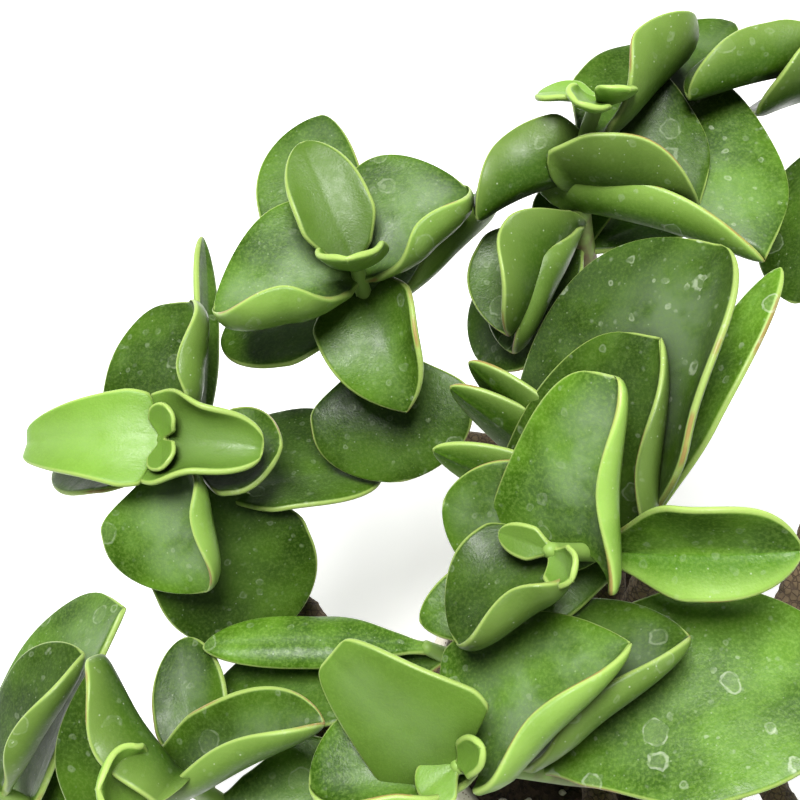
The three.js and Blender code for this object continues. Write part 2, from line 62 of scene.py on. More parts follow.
# How far each half of a leaf folds up from the midrib, in degrees, near its base, at its middle and
# near its tip, and how late across the half it folds: 1 is evenly, more is near the margin.
FOLDS = {
    "flat": (4, 6, 4, 1.2),
    "cupped": (22, 30, 18, 1.2),
    "raised": (45, 70, 40, 1.2),
    "hinged": (55, 75, 55, 0.3),
    "steep": (60, 95, 60, 1.2),
    "trough": (25, 88, 60, 1.2),
    "over": (95, 165, 125, 1.5),
    "rolled": (100, 150, 120, 0.8),
    "taco": (115, 140, 115, 0.3),
    "drooped": (-10, -45, -30, 1.2),
}

# Outlines of half a leaf: where it is widest, how wide its neck is, how blunt its tip is, how far the
# lobe at its base reaches back past its root as a share of its length, how far its margin is swept
# ahead as a share of its width, and how much it narrows evenly to its tip.
SHAPES = {
    "round": (0.55, 0.28, 0.62, 0, 0, 0),
    "oval": (0.42, 0.5, 0.62, 0, 0, 0),
    "eared": (0.3, 0.5, 0.9, 0.2, 0, 0),
    "lobed": (0.4, 0.6, 0.62, 0.5, 0, 0),
    "clasp": (0.35, 0.5, 0.9, 0.5, 0, 0),
    "full": (0.5, 0.28, 0.42, 0, 0, 0),
    "boat": (0.3, 0.8, 0.3, 0.45, 0, 0.35),
    "flag": (0.3, 0.3, 0.22, 0, 0.05, 0.38),
    "broad": (0.15, 1, 0.25, 0.3, 0, 0.35),
    "square": (0.3, 0.8, 0.25, 0.1, 0, 0.2),
    "wedge": (0.25, 0.9, 0.15, 0, 0, 0.5),
}

# The leafy shoots: foot, rise, top and lean. The photograph shows those from a to k, and the others grow
# out of its sight.
SHOOTS = {
    "a": ((-70, 95, 168), (-0.3, 0.4, 0.9), (-89, 122, 242), (-0.1, 0.2, 1)),
    "b": ((-125, 40, 150), (-0.7, 0.2, 0.6), (-151, 71, 218), (-0.4, -0.1, 0.9)),
    "c": ((-8, 131, 201), (-0.2, 0, 1), (-15, 161, 272), (0.3, 0.45, 0.8)),
    "d": ((12, 38, 186), (0, 0, 1), (-35, 26, 260), (-0.6, -0.1, 0.8)),
    "e": ((-8, -28, 185), (-0.3, -0.2, 0.9), (-60, -29, 240), (-0.6, -0.1, 0.8)),
    "f": ((-115, -45, 150), (-0.7, -0.1, 0.8), (-142, -33, 217), (-0.3, -0.1, 0.9)),
    "g": ((-165, -60, 140), (-0.8, 0, 0.5), (-205, -35, 195), (-0.5, -0.1, 0.9)),
    "h": ((98, 156, 201), (0.1, 0.2, 1), (68, 184, 270), (-0.3, 0.4, 0.9)),
    "k": ((-34, 4, 166), (-0.6, 0, 0.7), (-67, 9, 193), (-0.6, 0.2, 0.7)),
    "m": ((84, 78, 190), (0.4, 0.1, 1), (108, 92, 258), (0.3, 0.2, 1)),
    "n": ((86, 12, 178), (0.6, 0.1, 0.8), (128, 18, 240), (0.5, 0.1, 0.8)),
    "o": ((54, -44, 172), (0.4, -0.4, 0.8), (78, -68, 236), (0.3, -0.4, 0.9)),
    "p": ((-4, -76, 166), (0, -0.6, 0.8), (2, -112, 226), (0, -0.5, 0.9)),
    "q": ((-58, -74, 150), (-0.4, -0.5, 0.8), (-84, -104, 205), (-0.5, -0.5, 0.7)),
}
# A row for each leaf that the photograph shows: how far down the stem it sits, its turn round +Z, its
# lift, its length, the width of its left and right half, its roll, how each half folds, how much it
# arches, and its outline, or its left and right halves' with a slash. A row ends where PLAIN_LEAF holds
# for the rest, which is the roll and all after it.
USUAL_ARCH = -20
PLAIN_LEAF = (0, "flat", "flat", USUAL_ARCH, "round")
LEAVES = {
    "a": (
        (2, 114, 11, 45, 13, 13, 0, "cupped", "cupped", -30, "oval"),
        (2, -100, 68, 26, 13, 13, 0, "raised", "raised", 20, "oval"),
        (9, -170, -3, 48, 33, 33, -10, "over", "flat", -20, "round/eared"),
        (9, 42, 10, 46, 30, 27, 10, "flat", "over"),
        (17, 103, 2, 70, 28, 9),
        (17, -70, -10, 42, 17, 20, 0, "steep", "flat", -40, "eared"),
        (28, 178, -20, 57, 20, 18),
        (27, 50, -7, 65, 27, 27, 0, "flat", "over"),
        (34, 113, -6, 80, 18, 18),
        (42, -81, -12, 48, 28, 28, 0, "flat", "flat", -30),
    ),
    "b": (
        (2, 176, -16, 54, 17, 16, 0, "cupped", "cupped", -60, "wedge"),
        (2, -8, 8, 33, 17, 17, 0, "trough", "trough", -25, "boat"),
        (0, 80, 45, 13, 6, 6, 0, "cupped", "cupped", 20),
        (0, -80, 30, 14, 6, 6, 0, "cupped", "cupped", 20),
        (9, 88, 8, 50, 29, 24, 0, "flat", "over", -20, "square/round"),
        (9, -78, -15, 48, 20, 30, 0, "over"),
        (17, 175, -26, 58, 16, 16, 0, "cupped", "cupped"),
        (17, 4, 15, 34, 18, 18, 0, "cupped", "cupped", 30),
        (26, 92, 1, 91, 9, 5, 60, "raised", "cupped"),
        (26, -66, -28, 63, 28, 28),
        (36, 9, -3, 62, 36, 16, 0, "flat", "flat", -20, "full"),
        (54, -72, -4, 35, 16, 16),
    ),
    "c": (
        (0, 163, -17, 20, 9, 9, 0, "cupped", "cupped"),
        (0, -22, 54, 14, 8, 8, 0, "raised", "raised", 60),
        (0, -134, 44, 18, 8, 8, 0, "raised", "raised", 40),
        (26, -156, -1, 37, 22, 33, 18, "taco", "flat", -30, "eared"),
        (28, -18, 7, 38, 44, 26, 30, "flat", "taco", -20, "flag/clasp"),
        (18, 52, -7, 58, 20, 33, 0, "flat", "rolled"),
        (41, -121, -1, 49, 26, 24, 0, "taco", "cupped"),
        (37, -28, 15, 61, 60, 16, 18, "flat", "taco", -20, "flag/clasp"),
        (52, -135, -26, 53, 22, 22),
        (42, -118, -12, 50, 20, 20, 20, "over", "cupped"),
        (40, 53, 1, 94, 24, 14, 6),
        (56, 100, 0, 30, 14, 14),
        (56, 22, 2, 44, 12, 12),
    ),
    "d": (
        (1, 154, -22, 16, 5, 5, 0, "cupped", "cupped", -20, "oval"),
        (1, -70, 41, 15, 7, 7, 0, "raised", "raised", 60),
        (20, 83, 35, 52, 32, 20, 8, "flat", "over", -10, "broad"),
        (12, -143, -12, 41, 24, 22, 10, "over", "cupped", -20, "oval"),
        (26, -5, 24, 56, 20, 14, 0, "hinged", "flat", -10),
        (34, 162, -3, 52, 19, 19),
        (40, 81, 30, 65, 48, 20, 5, "flat", "over", -20, "broad/eared"),
        (42, 74, 28, 95, 48, 22, -4, "flat", "raised", -30, "full"),
        (46, 61, 21, 96, 8, 10, -10, "flat", "cupped"),
        (47, 130, 7, 77, 12, 12, 150, "cupped", "cupped", -20, "oval"),
        (55, 140, 9, 79, 12, 12, 150, "cupped", "cupped", -20, "oval"),
        (46, 152, 2, 68, 12, 12, 150, "cupped", "cupped", -20, "oval"),
        (50, -163, -5, 70, 14, 14),
    ),
    "e": (
        (3, 141, 8, 47, 20, 21, 0, "flat", "flat", -20, "wedge"),
        (1, 35, 70, 20, 6, 6, 0, "raised", "raised", 20),
        (1, -143, -3, 13, 7, 7, 0, "flat", "flat", 0),
        (10, 37, 21, 55, 34, 22, -5, "flat", "over", -20, "eared"),
        (24, 35, 14, 63, 36, 20, -5, "flat", "over", -20, "oval"),
        (34, 17, 12, 96, 37, 26),
        (12, -175, -4, 49, 20, 20, 0, "over"),
    ),
    "f": (
        (1, -173, 50, 27, 14, 14, 0, "raised", "raised", 90),
        (8, 125, 10, 45, 34, 22, -10, "flat", "taco", -20, "eared/square"),
        (16, 23, 25, 49, 20, 16, -15, "raised", "rolled", -20, "lobed"),
        (28, 103, -5, 51, 13, 13, 0, "cupped", "cupped"),
        (34, -12, 2, 52, 26, 18),
    ),
    "g": (
        (10, 56, 23, 54, 22, 18, 0, "flat", "over"),
        (24, 65, 13, 71, 42, 7, 0, "flat", "cupped", -20, "square/eared"),
        (36, 115, 6, 26, 14, 14),
    ),
    "h": (
        (8, -167, 0, 58, 17, 24, 12, "taco", "cupped"),
        (16, -166, -5, 37, 24, 24, 35, "steep", "cupped"),
        (26, -114, -18, 69, 22, 22),
    ),
    "k": (
        (2, -180, 2, 73, 8, 12, 0, "drooped", "drooped"),
        (12, -173, -6, 79, 20, 14),
    ),
}

# The other shoots have pairs of leaves down their stem, a quarter turn apart, with seeded draws. A pair
# has how far down it sits, its lift, its length and the width of a half.
SEEDS = {"m": 3, "n": 8, "o": 5, "p": 11, "q": 14}
PAIRS = ((1, 50, 20, 7), (8, 32, 38, 15), (18, 18, 48, 20), (30, 4, 56, 22))
GROWN_FOLDS = (
    ("flat", "flat"),
    ("flat", "raised"),
    ("steep", "cupped"),
    ("cupped", "cupped"),
    ("cupped", "flat"),
)
# How wide a range their turn, lift and roll are drawn from, in degrees, their least size and its range,
# and the share with a round outline.
TURN_SPREAD = 24
LIFT_SPREAD = 14
ROLL_SPREAD = 40
LEAST_SIZE = 0.88
SIZE_SPREAD = 0.2
ROUND_SHARE = 0.7
# How many draws each of those shoots passes over first.
SKIPPED_DRAWS = 5

# Woody branches from the trunk out towards the shoots: where each starts and its way, where it ends and
# its way there, and the limbs' radii at their start and end.
BRANCHES = {
    "trunk": ((0, 0, 62), (0, 0, 1), (-3, 3, 128), (-0.1, 0.1, 1)),
    "left": ((-2, 2, 120), (-0.9, 0.1, 0.4), (-95, 5, 140), (-0.9, 0.1, 0.3)),
    "back": ((-2, 3, 122), (0.1, 0.7, 0.6), (4, 84, 164), (0, 0.8, 0.5)),
    "right": ((-1, 1, 120), (0.9, 0.1, 0.4), (44, 6, 150), (0.8, 0, 0.6)),
    "front": ((-1, 1, 119), (0, -0.9, 0.4), (-4, -44, 140), (0, -0.8, 0.6)),
}
LIMB_RADII = {"left": (7.6, 6.4), "back": (7.8, 6.6), "right": (7.6, 6.4), "front": (7.4, 6.2)}
TRUNK_TAPER = 0.82
# A branch starts this share of the trunk's radius inside its carrier, overlaps its shoot's foot by some
# millimetres, and has a green stem's radius and these millimetres more at its start and its end.
BRANCH_SUNK = 0.4
FOOT_OVERLAP = 1.5
BRANCH_EXTRA = (1.2, 0.5)
# Which branch carries each shoot, and which way it sets out from there.
CARRIED = {
    "a": ("back", (-0.9, 0.3, 0.1)),
    "b": ("left", (-0.6, 0.7, 0.1)),
    "f": ("left", (-0.3, -0.9, 0.1)),
    "g": ("left", (-0.7, -0.6, 0)),
    "c": ("back", (0.1, 0.9, 0.5)),
    "h": ("right", (1, 0, 0.1)),
    "m": ("right", (1, 0.1, 0.2)),
    "d": ("trunk", (0.2, 0.3, 1)),
    "e": ("trunk", (0, -0.4, 0.9)),
    "k": ("trunk", (-0.6, -0.2, 0.7)),
    "n": ("right", (0.8, 0.1, 0.6)),
    "o": ("right", (0.5, -0.8, 0.3)),
    "p": ("front", (0, -0.9, 0.5)),
    "q": ("front", (-0.8, -0.5, 0.3)),
}

POT_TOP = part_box("pot")[1]

# The pot, in millimetres or, with SHARE in a name, as a share of its rim's radius or its height.
WALL = 5
FLOOR = WALL + 1
SOIL_BELOW_RIM = 9
BASE_SHARE = 0.71
BAND_SHARE = 0.15
BAND_STEP = 2.6
HOLE_COUNT = 4
HOLE_RADIUS = 4.5
HOLE_RING_SHARE = 0.52
# A shoot's radius at its top, and a leaf's root: its share of the leaf's length, and its half-width.
SHOOT_TOP = 2.2
ROOT_LENGTH = 0.13
ROOT_WIDTH = 2.2


def linear(value):
    """The linear colour of an sRGB hex value such as "#4F7A2A"."""
    parts = [int(value[i : i + 2], 16) / 255 for i in (1, 3, 5)]
    return [p / 12.92 if p <= 0.04045 else ((p + 0.055) / 1.055) ** 2.4 for p in parts]


def length_property(name, description, millimetres):
    return bpy.props.FloatProperty(
        name=name, description=description, default=millimetres * MM, min=0, unit="LENGTH", precision=4
    )


def colour_property(name, description, value):
    return bpy.props.FloatVectorProperty(
        name=name, description=description, default=linear(value), subtype="COLOR", min=0, max=1
    )


class PotSizes(bpy.types.PropertyGroup):
    """Sizes of the clay pot and of its soil."""

    height: length_property("Height", "Height of the pot", POT_TOP.z / MM)
    rim_radius: length_property("Rim radius", "Outside radius of the pot's rim", POT_TOP.x / MM)
    crumb: length_property("Crumb", "Size of the largest crumbs of soil", 4.5)


class PlantSizes(bpy.types.PropertyGroup):
    """Sizes of the plant's leaves and stems."""

    leaf_thickness: length_property("Leaf thickness", "Thickness of a grown leaf at its middle", 3)
    green_stem: length_property("Green stem", "Radius of a leafy shoot at its foot", 4.6)
    woody_stem: length_property("Woody stem", "Radius of the trunk at the soil", 11)
    margin_width: length_property("Margin width", "Width of the pale line round a leaf", 0.7)


class PlantColours(bpy.types.PropertyGroup):
    """Colours of the plant, its soil and its pot."""

    upper_deep: colour_property("Upper side, deep", "Darkest green of a leaf's upper side", "#2C4A06")
    upper_green: colour_property("Upper side", "Usual green of a leaf's upper side", "#50761A")
    # Bloom: grey wax, and partly a painted sheen on the middle of a leaf.
    bloom_and_sheen: colour_property("Bloom", "Grey wax on the middle of a leaf", "#8FA382")
    under_deep: colour_property("Underside, deep", "Green of the underside by the midrib", "#446C10")
    under_pale: colour_property("Underside, pale", "Green of the underside by the margin", "#81A24A")
    young: colour_property("Young leaf", "Lime green of the leaves at a shoot's tip", "#70953A")
    # Margin: the leaf's own pale edge, and partly a painted highlight on its rounded rim.
    margin: colour_property("Margin", "Pale line round a leaf", "#B4CC70")
    blush: colour_property("Blush", "Red-brown thread on the edge of an old leaf", "#9A5C40")
    dust: colour_property("Dust", "Dried drops and specks on the leaves", "#BFCBAE")
    bark: colour_property("Bark", "Dry bark of the woody stem", "#66543C")
    earth: colour_property("Earth", "Potting mix", "#3A2C20")
    clay: colour_property("Clay", "Pale unglazed clay", "#D8D1C2")


class CotyledonSettings(bpy.types.PropertyGroup):
    """Everything that a user may change about the plant."""

    pot: bpy.props.PointerProperty(type=PotSizes, name="Pot", description="Sizes of the pot")
    plant: bpy.props.PointerProperty(type=PlantSizes, name="Plant", description="Sizes of the plant")
    colours: bpy.props.PointerProperty(type=PlantColours, name="Colours", description="Its colours")


def smooth(x):
    x = np.clip(x, 0, 1)
    return x * x * (3 - 2 * x)


def unit(list_or_vector):
    return Vector(list_or_vector).normalized()


def draws(seed):
    """A seeded draw between 0 and 1, the same in any language."""
    state = seed * 7919 + 17

    def draw():
        nonlocal state
        state = (state * 48271) % 2147483647
        return state / 2147483647

    return draw


class Curve:
    """A curve that leaves one point and reaches another in given directions, in millimetres."""

    SPLITS = 200

    def __init__(self, start, go, finish, end):
        start = Vector(start)
        finish = Vector(finish)
        pull = (finish - start).length / 3
        self.points = (start, start + unit(go) * pull, finish - unit(end) * pull, finish)
        walk = [0]
        before = start
        for i in range(1, self.SPLITS + 1):
            point = self.at(i / self.SPLITS)
            walk.append(walk[-1] + (point - before).length)
            before = point
        self.walk = walk
        self.length = walk[-1]

    def at(self, t):
        a, b, c, d = self.points
        s = 1 - t
        return a * s**3 + b * (3 * s * s * t) + c * (3 * s * t * t) + d * t**3

    def slope(self, t):
        a, b, c, d = self.points
        s = 1 - t
        return ((b - a) * (s * s) + (c - b) * (2 * s * t) + (d - c) * (t * t)).normalized()

    def share(self, u):
        """The curve's own parameter at a share u of its length."""
        places = np.linspace(0, 1, self.SPLITS + 1)
        return float(np.interp(u * self.length, self.walk, places))


class Pile:
    """Vertices, faces and attributes of one mesh, gathered from its parts."""

    def __init__(self):
        self.vertices = []
        self.faces = []
        self.slots = []
        self.place = []
        self.kind = []
        self.count = 0

    def add(self, vertices, faces, slot=0, place=None, kind=(0, 0, 0, 0)):
        self.vertices.append(np.asarray(vertices, float))
        self.faces += [[i + self.count for i in face] for face in faces]
        self.slots += [slot] * len(faces)
        size = len(vertices)
        self.place.append(np.zeros((size, 4)) if place is None else place)
        self.kind.append(np.tile(np.asarray(kind, float), (size, 1)))
        self.count += size

    def make(self, name, materials):
        """A smooth mesh object of the gathered parts, with its attributes and materials."""
        mesh = bpy.data.meshes.new(name)
        vertices = np.concatenate(self.vertices) * MM
        mesh.from_pydata(vertices.tolist(), [], self.faces)
        mesh.polygons.foreach_set("material_index", self.slots)
        mesh.polygons.foreach_set("use_smooth", [True] * len(self.faces))
        place = np.concatenate(self.place)
        kind = np.concatenate(self.kind)
        for key, data in (("leaf_place", place), ("leaf_kind", kind)):
            made = mesh.attributes.new(key, "FLOAT_VECTOR", "POINT")
            made.data.foreach_set("vector", data[:, :3].ravel())
        for key, data in (("leaf_edge", place), ("leaf_drips", kind)):
            mesh.attributes.new(key, "FLOAT", "POINT").data.foreach_set("value", data[:, 3])
        for material in materials:
            mesh.materials.append(material)
        mesh.update()
        made = bpy.data.objects.new(name, mesh)
        bpy.context.scene.collection.objects.link(made)
        return made


def circle(radius, z, around):
    """The points of a level circle about the pot's axis."""
    angles = [j / around * math.tau for j in range(around)]
    return [(radius * math.cos(angle), radius * math.sin(angle), z) for angle in angles]


def ring_faces(rings, around, inward=False):
    """The faces between rings of points, each ring with as many points, turned inward if asked."""
    faces = []
    for i in range(rings - 1):
        for j in range(around):
            a = i * around + j
            b = i * around + (j + 1) % around
            face = (a, b, b + around, a + around)
            faces.append((a, a + around, b + around, b) if inward else face)
    return faces


def apply_modifiers(context, piece):
    """Makes what a piece's modifiers show its own mesh, and smooth."""
    shown = piece.evaluated_get(context.evaluated_depsgraph_get())
    mesh = bpy.data.meshes.new_from_object(shown)
    piece.modifiers.clear()
    old = piece.data
    piece.data = mesh
    bpy.data.meshes.remove(old)
    mesh.polygons.foreach_set("use_smooth", [True] * len(mesh.polygons))
    mesh.update()


def tube(curve, thick, thin, sides, rings):
    """Points, faces and shares of the length of a tapered stem along a curve, closed at both ends."""
    points = []
    shares = []
    for i in range(rings + 1):
        at = i / rings
        direction = curve.slope(at)
        reference = Vector((0, 1, 0)) if abs(direction.y) < 0.9 else Vector((1, 0, 0))
        across = reference.cross(direction).normalized()
        other = direction.cross(across)
        radius = thick + (thin - thick) * at
        for j in range(sides):
            angle = j / sides * math.tau
            point = curve.at(at) + across * (math.cos(angle) * radius) + other * (math.sin(angle) * radius)
            points.append(point)
            shares.append(at)
    faces = ring_faces(rings + 1, sides)
    last = rings * sides
    faces.append(tuple(range(sides - 1, -1, -1)))
    tip = curve.at(1) + curve.slope(1) * (thin * 0.6)
    points.append(tip)
    shares.append(1)
    faces += [(last + j, last + (j + 1) % sides, len(points) - 1) for j in range(sides)]
    return points, faces, shares


# A leaf's mesh: stations along it, steps across a half's flat and round its margin, and the finer steps
# that its fold is added up over.
STATIONS = 46
SPREAD = 7
ROUNDING = 4
FINE = 48
# In millimetres: the groove along a leaf's midrib, its width and its depth beside and on the midrib.
GROOVE_WIDTH = 1.6
GROOVE_DEPTH = 0.25
MIDRIB_DEPTH = 0.35
# How much thicker a leaf is under its midrib, how fast its margin ripples along it in radians, and how
# far the right half's ripple is out of step with the left's.
KEEL = 1.25
RIPPLES = 9
OUT_OF_STEP = 2.1


def outline(u, shape):
    """Half-width of a leaf at u along it, as a share of its widest."""
    widest, neck, blunt, _, _, taper = shape
    grow = neck + (1 - neck) * smooth((u - 0.03) / (widest * 0.78))
    x = np.clip((u - widest) / (1 - widest), 0, 1)
    return grow * (1 - taper * x) * (1 - x**2.2) ** blunt


def fold_at(fold, u):
    near_base, middle, near_tip, _ = fold
    first = near_base + (middle - near_base) * smooth((u - 0.12) / 0.38)
    return first + (near_tip - middle) * smooth((u - 0.5) / 0.42)


def thick_at(u):
    """A leaf's thickness at u, as a share of its middle's: more at its base, less at its tip."""
    tip = np.clip((u - 0.9) / 0.1, 0, 1)
    return (1 + 0.5 * np.exp(-u / 0.08)) * np.sqrt(1 - 0.9 * tip**2)


def leaf_stations():
    """Places along a leaf, closer together at its base and tip."""
    s = np.linspace(0, 1, STATIONS)
    even = 0.45 * s + 0.55 * (0.5 - 0.5 * np.cos(math.pi * s))
    return even * 0.9985


def half_section(width, fold, lateness, half):
    """One half of a leaf's cross-section at every station: out, up, slope, thickness and t of its steps."""
    fine = np.linspace(0, 1, FINE + 1)
    slope = np.radians(fold)[:, None] * fine[None, :] ** lateness
    step = (width / FINE)[:, None]
    zero = np.zeros((len(width), 1))
    out, up = (
        np.concatenate([zero, np.cumsum((rate[:, 1:] + rate[:, :-1]) / 2 * step, axis=1)], axis=1)
        for rate in (np.cos(slope), np.sin(slope))
    )
    turn_in = np.clip(1 - half * 0.9 / np.maximum(width, 1e-4), 0.35, 0.97)[:, None]
    flat = turn_in * (np.arange(1, SPREAD + 1) / SPREAD)[None, :]
    angle = np.arange(1, ROUNDING + 1) / ROUNDING * math.pi / 2
    bent = turn_in + (1 - turn_in) * np.sin(angle)[None, :]
    t = np.concatenate([flat, bent], axis=1)
    full = np.concatenate([np.ones((len(width), SPREAD)), np.tile(np.cos(angle), (len(width), 1))], axis=1)
    index = np.clip((t * FINE).astype(int), 0, FINE - 1)
    part = t * FINE - index

    def at(table):
        near = np.take_along_axis(table, index, 1)
        far = np.take_along_axis(table, index + 1, 1)
        return near * (1 - part) + far * part

    slopes = np.radians(fold)[:, None] * t**lateness
    thickness = half[:, None] * (1 - 0.25 * t * t) * full
    return at(out), at(up), slopes, thickness, full, t


def add_leaf(pile, row, stem, thickness, kind, wave, turned):
    """A leaf as one closed skin: rings round the blade, from its root in the stem to its tip."""
    base, axis = stem
    row += PLAIN_LEAF[len(row) - 6 :]
    _, turn, lift, length, left, right, roll, left_fold, right_fold, curl, shape_names = row
    shapes = [SHAPES[name] for name in shape_names.split("/")]
    turn, lift, roll, bow = (math.radians(v) for v in (turn, lift, roll, curl))
    X = Vector((math.cos(turn) * math.cos(lift), math.sin(turn) * math.cos(lift), math.sin(lift)))
    lifted = (axis - X * axis.dot(X)).normalized()
    side = lifted.cross(X)
    Y = np.array(side * math.cos(roll) + lifted * math.sin(roll))
    Z = np.array(lifted * math.cos(roll) - side * math.sin(roll))
    X = np.array(X)
    u = leaf_stations()
    bend = bow * (u - 0.5)
    if abs(bow) > 1e-6:
        along = length * (np.sin(bend) + math.sin(bow / 2)) / bow
        up = length * (math.cos(bow / 2) - np.cos(bend)) / bow
    else:
        along = length * u
        up = 0 * u
    thin = min(1, 0.45 + length / 60)
    half = thickness / 2 * thin * thick_at(u)
    opened = smooth(u / ROOT_LENGTH)
    sections = []
    backs = []
    halves = ((left, left_fold, 0, shapes[0]), (right, right_fold, OUT_OF_STEP, shapes[-1]))
    for widest, name, phase, shape in halves:
        fold = FOLDS[name]
        lobe, sweep = shape[3:5]
        width = ROOT_WIDTH + (widest * outline(u, shape) - ROOT_WIDTH) * opened
        backs.append(lobe * length * (1 - u) ** 3 * opened - sweep * widest * 4 * u * (1 - u))
        ripple = wave[0] * np.sin(wave[1] + phase + u * RIPPLES) * smooth(u * 3)
        angle = (fold_at(fold, u) + ripple) * opened
        sections.append((width, half_section(width, angle, fold[3], half)))
    ring = []

    def face_points(sign, section, face, order):
        width, (out, rise, slope, thickness_at, full, t) = section
        back = backs[0] if sign > 0 else backs[1]
        for k in order:
            off = face * thickness_at[:, k]
            edge = np.minimum((1 - t[:, k]) * width, (1 - u) * length)
            groove = 0 if face < 0 else -GROOVE_DEPTH * np.exp(-((t[:, k] * width / GROOVE_WIDTH) ** 2))
            ring.append((
                sign * (out[:, k] - np.sin(slope[:, k]) * off),
                rise[:, k] + np.cos(slope[:, k]) * off + groove,
                back * t[:, k],
                t[:, k],
                # Painted light: the right half of the painted-lit leaf takes the underside's paler colour
                # on both faces.
                (-1 if turned and sign < 0 else face) * full[:, k],
                edge,
            ))

    last = SPREAD + ROUNDING - 1
    zero = 0 * u
    middle_edge = np.minimum(sections[0][0], (1 - u) * length)
    face_points(1, sections[0], 1, range(last, -1, -1))
    ring.append((zero, half - MIDRIB_DEPTH * opened, zero, zero, zero + 1, middle_edge))
    face_points(-1, sections[1], 1, range(last + 1))
    face_points(-1, sections[1], -1, range(last - 1, -1, -1))
    ring.append((zero, -half * KEEL, zero, zero, zero - 1, middle_edge))
    face_points(1, sections[0], -1, range(last))
    table = np.array([[np.broadcast_to(v, u.shape) for v in point] for point in ring])
    out, rise, behind, t, face, edge = (table[:, i, :].T for i in range(6))
    ahead = along[:, None] - behind - np.sin(bend)[:, None] * rise
    over = up[:, None] + np.cos(bend)[:, None] * rise
    base = np.array(base)
    points = base + ahead[..., None] * X + out[..., None] * Y + over[..., None] * Z
    around = points.shape[1]
    place = np.stack([np.broadcast_to(u[:, None], t.shape), t, face, edge], axis=-1)
    tip = base + X * (length * 2 * math.sin(bow / 2) / bow if abs(bow) > 1e-6 else length)
    points = np.concatenate([points.reshape(-1, 3), tip[None, :]])
    place = np.concatenate([place.reshape(-1, 4), [[1, 0, 0, 0]]])
    faces = ring_faces(len(u), around)
    end = (len(u) - 1) * around
    faces += [(end + j, end + (j + 1) % around, len(points) - 1) for j in range(around)]
    faces.append(tuple(range(around - 1, -1, -1)))
    pile.add(points, faces, 0, place, kind)


def grown_leaves(seed):
    """The rows of a shoot whose leaves are placed by a rule."""
    draw = draws(seed)
    for _ in range(SKIPPED_DRAWS):
        draw()
    start = draw() * 360
    rows = []
    for pair, (down, lift, length, half) in enumerate(PAIRS):
        for side in (0, 180):
            turn = start + pair * 90 + side + (draw() - 0.5) * TURN_SPREAD
            size = LEAST_SIZE + SIZE_SPREAD * draw()
            tilt = lift + (draw() - 0.5) * LIFT_SPREAD
            roll = (draw() - 0.5) * ROLL_SPREAD
            folds = GROWN_FOLDS[int(draw() * len(GROWN_FOLDS))]
            shape = "round" if draw() < ROUND_SHARE else "oval"
            widths = (half * size, half * size)
            rows.append((down, turn, tilt, length * size, *widths, roll, *folds, USUAL_ARCH, shape))
    return rows


# Sockets of a colour mix node.
MIX_FACTOR, MIX_A, MIX_B, MIX_RESULT = 0, 6, 7, 2
RANGE = ("Value", "From Min", "From Max", "To Min", "To Max")


def connect(tree, node, inputs):
    """Gives each input of a node its value, or links it to a socket."""
    for key, value in inputs.items():
        if isinstance(value, bpy.types.NodeSocket):
            tree.links.new(value, node.inputs[key])
        else:
            node.inputs[key].default_value = value


def add(tree, kind, inputs, output=0, **settings):
    """Adds a shader node with its inputs and settings, and gives one of its outputs."""
    node = tree.nodes.new(f"ShaderNode{kind}")
    for name, value in settings.items():
        setattr(node, name, value)
    connect(tree, node, inputs)
    return node.outputs[output]


def share_of(tree, *masks):
    """The product of masks. Each is a number, a socket, or a socket with the two values between which it
    slopes smoothly from 0 to 1. A third value stands in for the 0 and a fourth for the 1."""
    product = None
    for mask in masks:
        if isinstance(mask, tuple):
            mask = add(tree, "MapRange", dict(zip(RANGE, mask)), interpolation_type="SMOOTHSTEP")
        if product is None:
            product = mask
        else:
            product = add(tree, "Math", {0: product, 1: mask}, operation="MULTIPLY")
    return product


def painted(tree, base, *layers):
    """A colour under layers, each a colour and the masks whose product says how strongly it shows."""
    for colour, *masks in layers:
        pair = {MIX_FACTOR: share_of(tree, *masks), MIX_A: base, MIX_B: colour}
        base = add(tree, "Mix", pair, MIX_RESULT, data_type="RGBA")
    return base


def painted_crevice_shade(tree, colour, reach, darkest):
    """The colour with painted shade: darker where other surfaces close in on it within a reach in
    millimetres.
    """
    close = add(tree, "AmbientOcclusion", {"Distance": reach * MM}, "AO", samples=2)
    value = share_of(tree, (close, 0.1, 0.8, darkest))
    return add(tree, "HueSaturation", {"Value": value, "Color": colour})


def start_material(name, colours):
    """A new material, its tree, its coordinates in millimetres and the plant's colours by name."""
    material = bpy.data.materials.new(name)
    material.use_nodes = True
    tree = material.node_tree
    metres = add(tree, "TexCoord", {}, "Object")
    mm = add(tree, "VectorMath", {0: metres, "Scale": 1 / MM}, operation="SCALE")
    return material, tree, mm, {key: (*getattr(colours, key), 1) for key in colours.__annotations__}


def finish_surface(tree, colour, relief, others):
    """Gives the shader its colour, its relief as height, strength and depth in mm, and other inputs."""
    height, strength, depth = relief
    bump = add(tree, "Bump", {"Height": height, "Strength": strength, "Distance": depth * MM})
    connect(tree, tree.nodes["Principled BSDF"], {"Base Color": colour, "Normal": bump, **others})


# A leaf's noise patterns: period in millimetres, detail and roughness.
LEAF_CLOUDS = {
    "patches": (20, 2, 0.5),
    "grain": (1, 2, 0.6),
    "bloom_and_sheen": (15, 3, 0.6),
    "rust": (22, 2, 0.5),
    "breaks": (3, 2, 0.5),
    "polish": (5, 3, 0.6),
    "ripple": (6, 3, 0.5),
    "pores": (0.7, 2, 0.5),
}
# Specks of dust lie on about half of cells this wide, in millimetres.
SPECK_CELL = 2.5
# Dried drops: the cell that each falls in, in millimetres, its radius as a share of the cell, the share
# of cells with one, and how strongly its rim and its inside show.
DROPS = (
    (2.9, 0.18, 0.45, 0.1, 0.26),
    (4.5, 0.2, 0.5, 0.26, 0.1),
    (13, 0.22, 0.5, 0.42, 0.08),
)
# How wide a drop's rim is, and how far its outline wanders, in millimetres.
DROP_LINE = 0.28
DROP_WANDER = 3.0


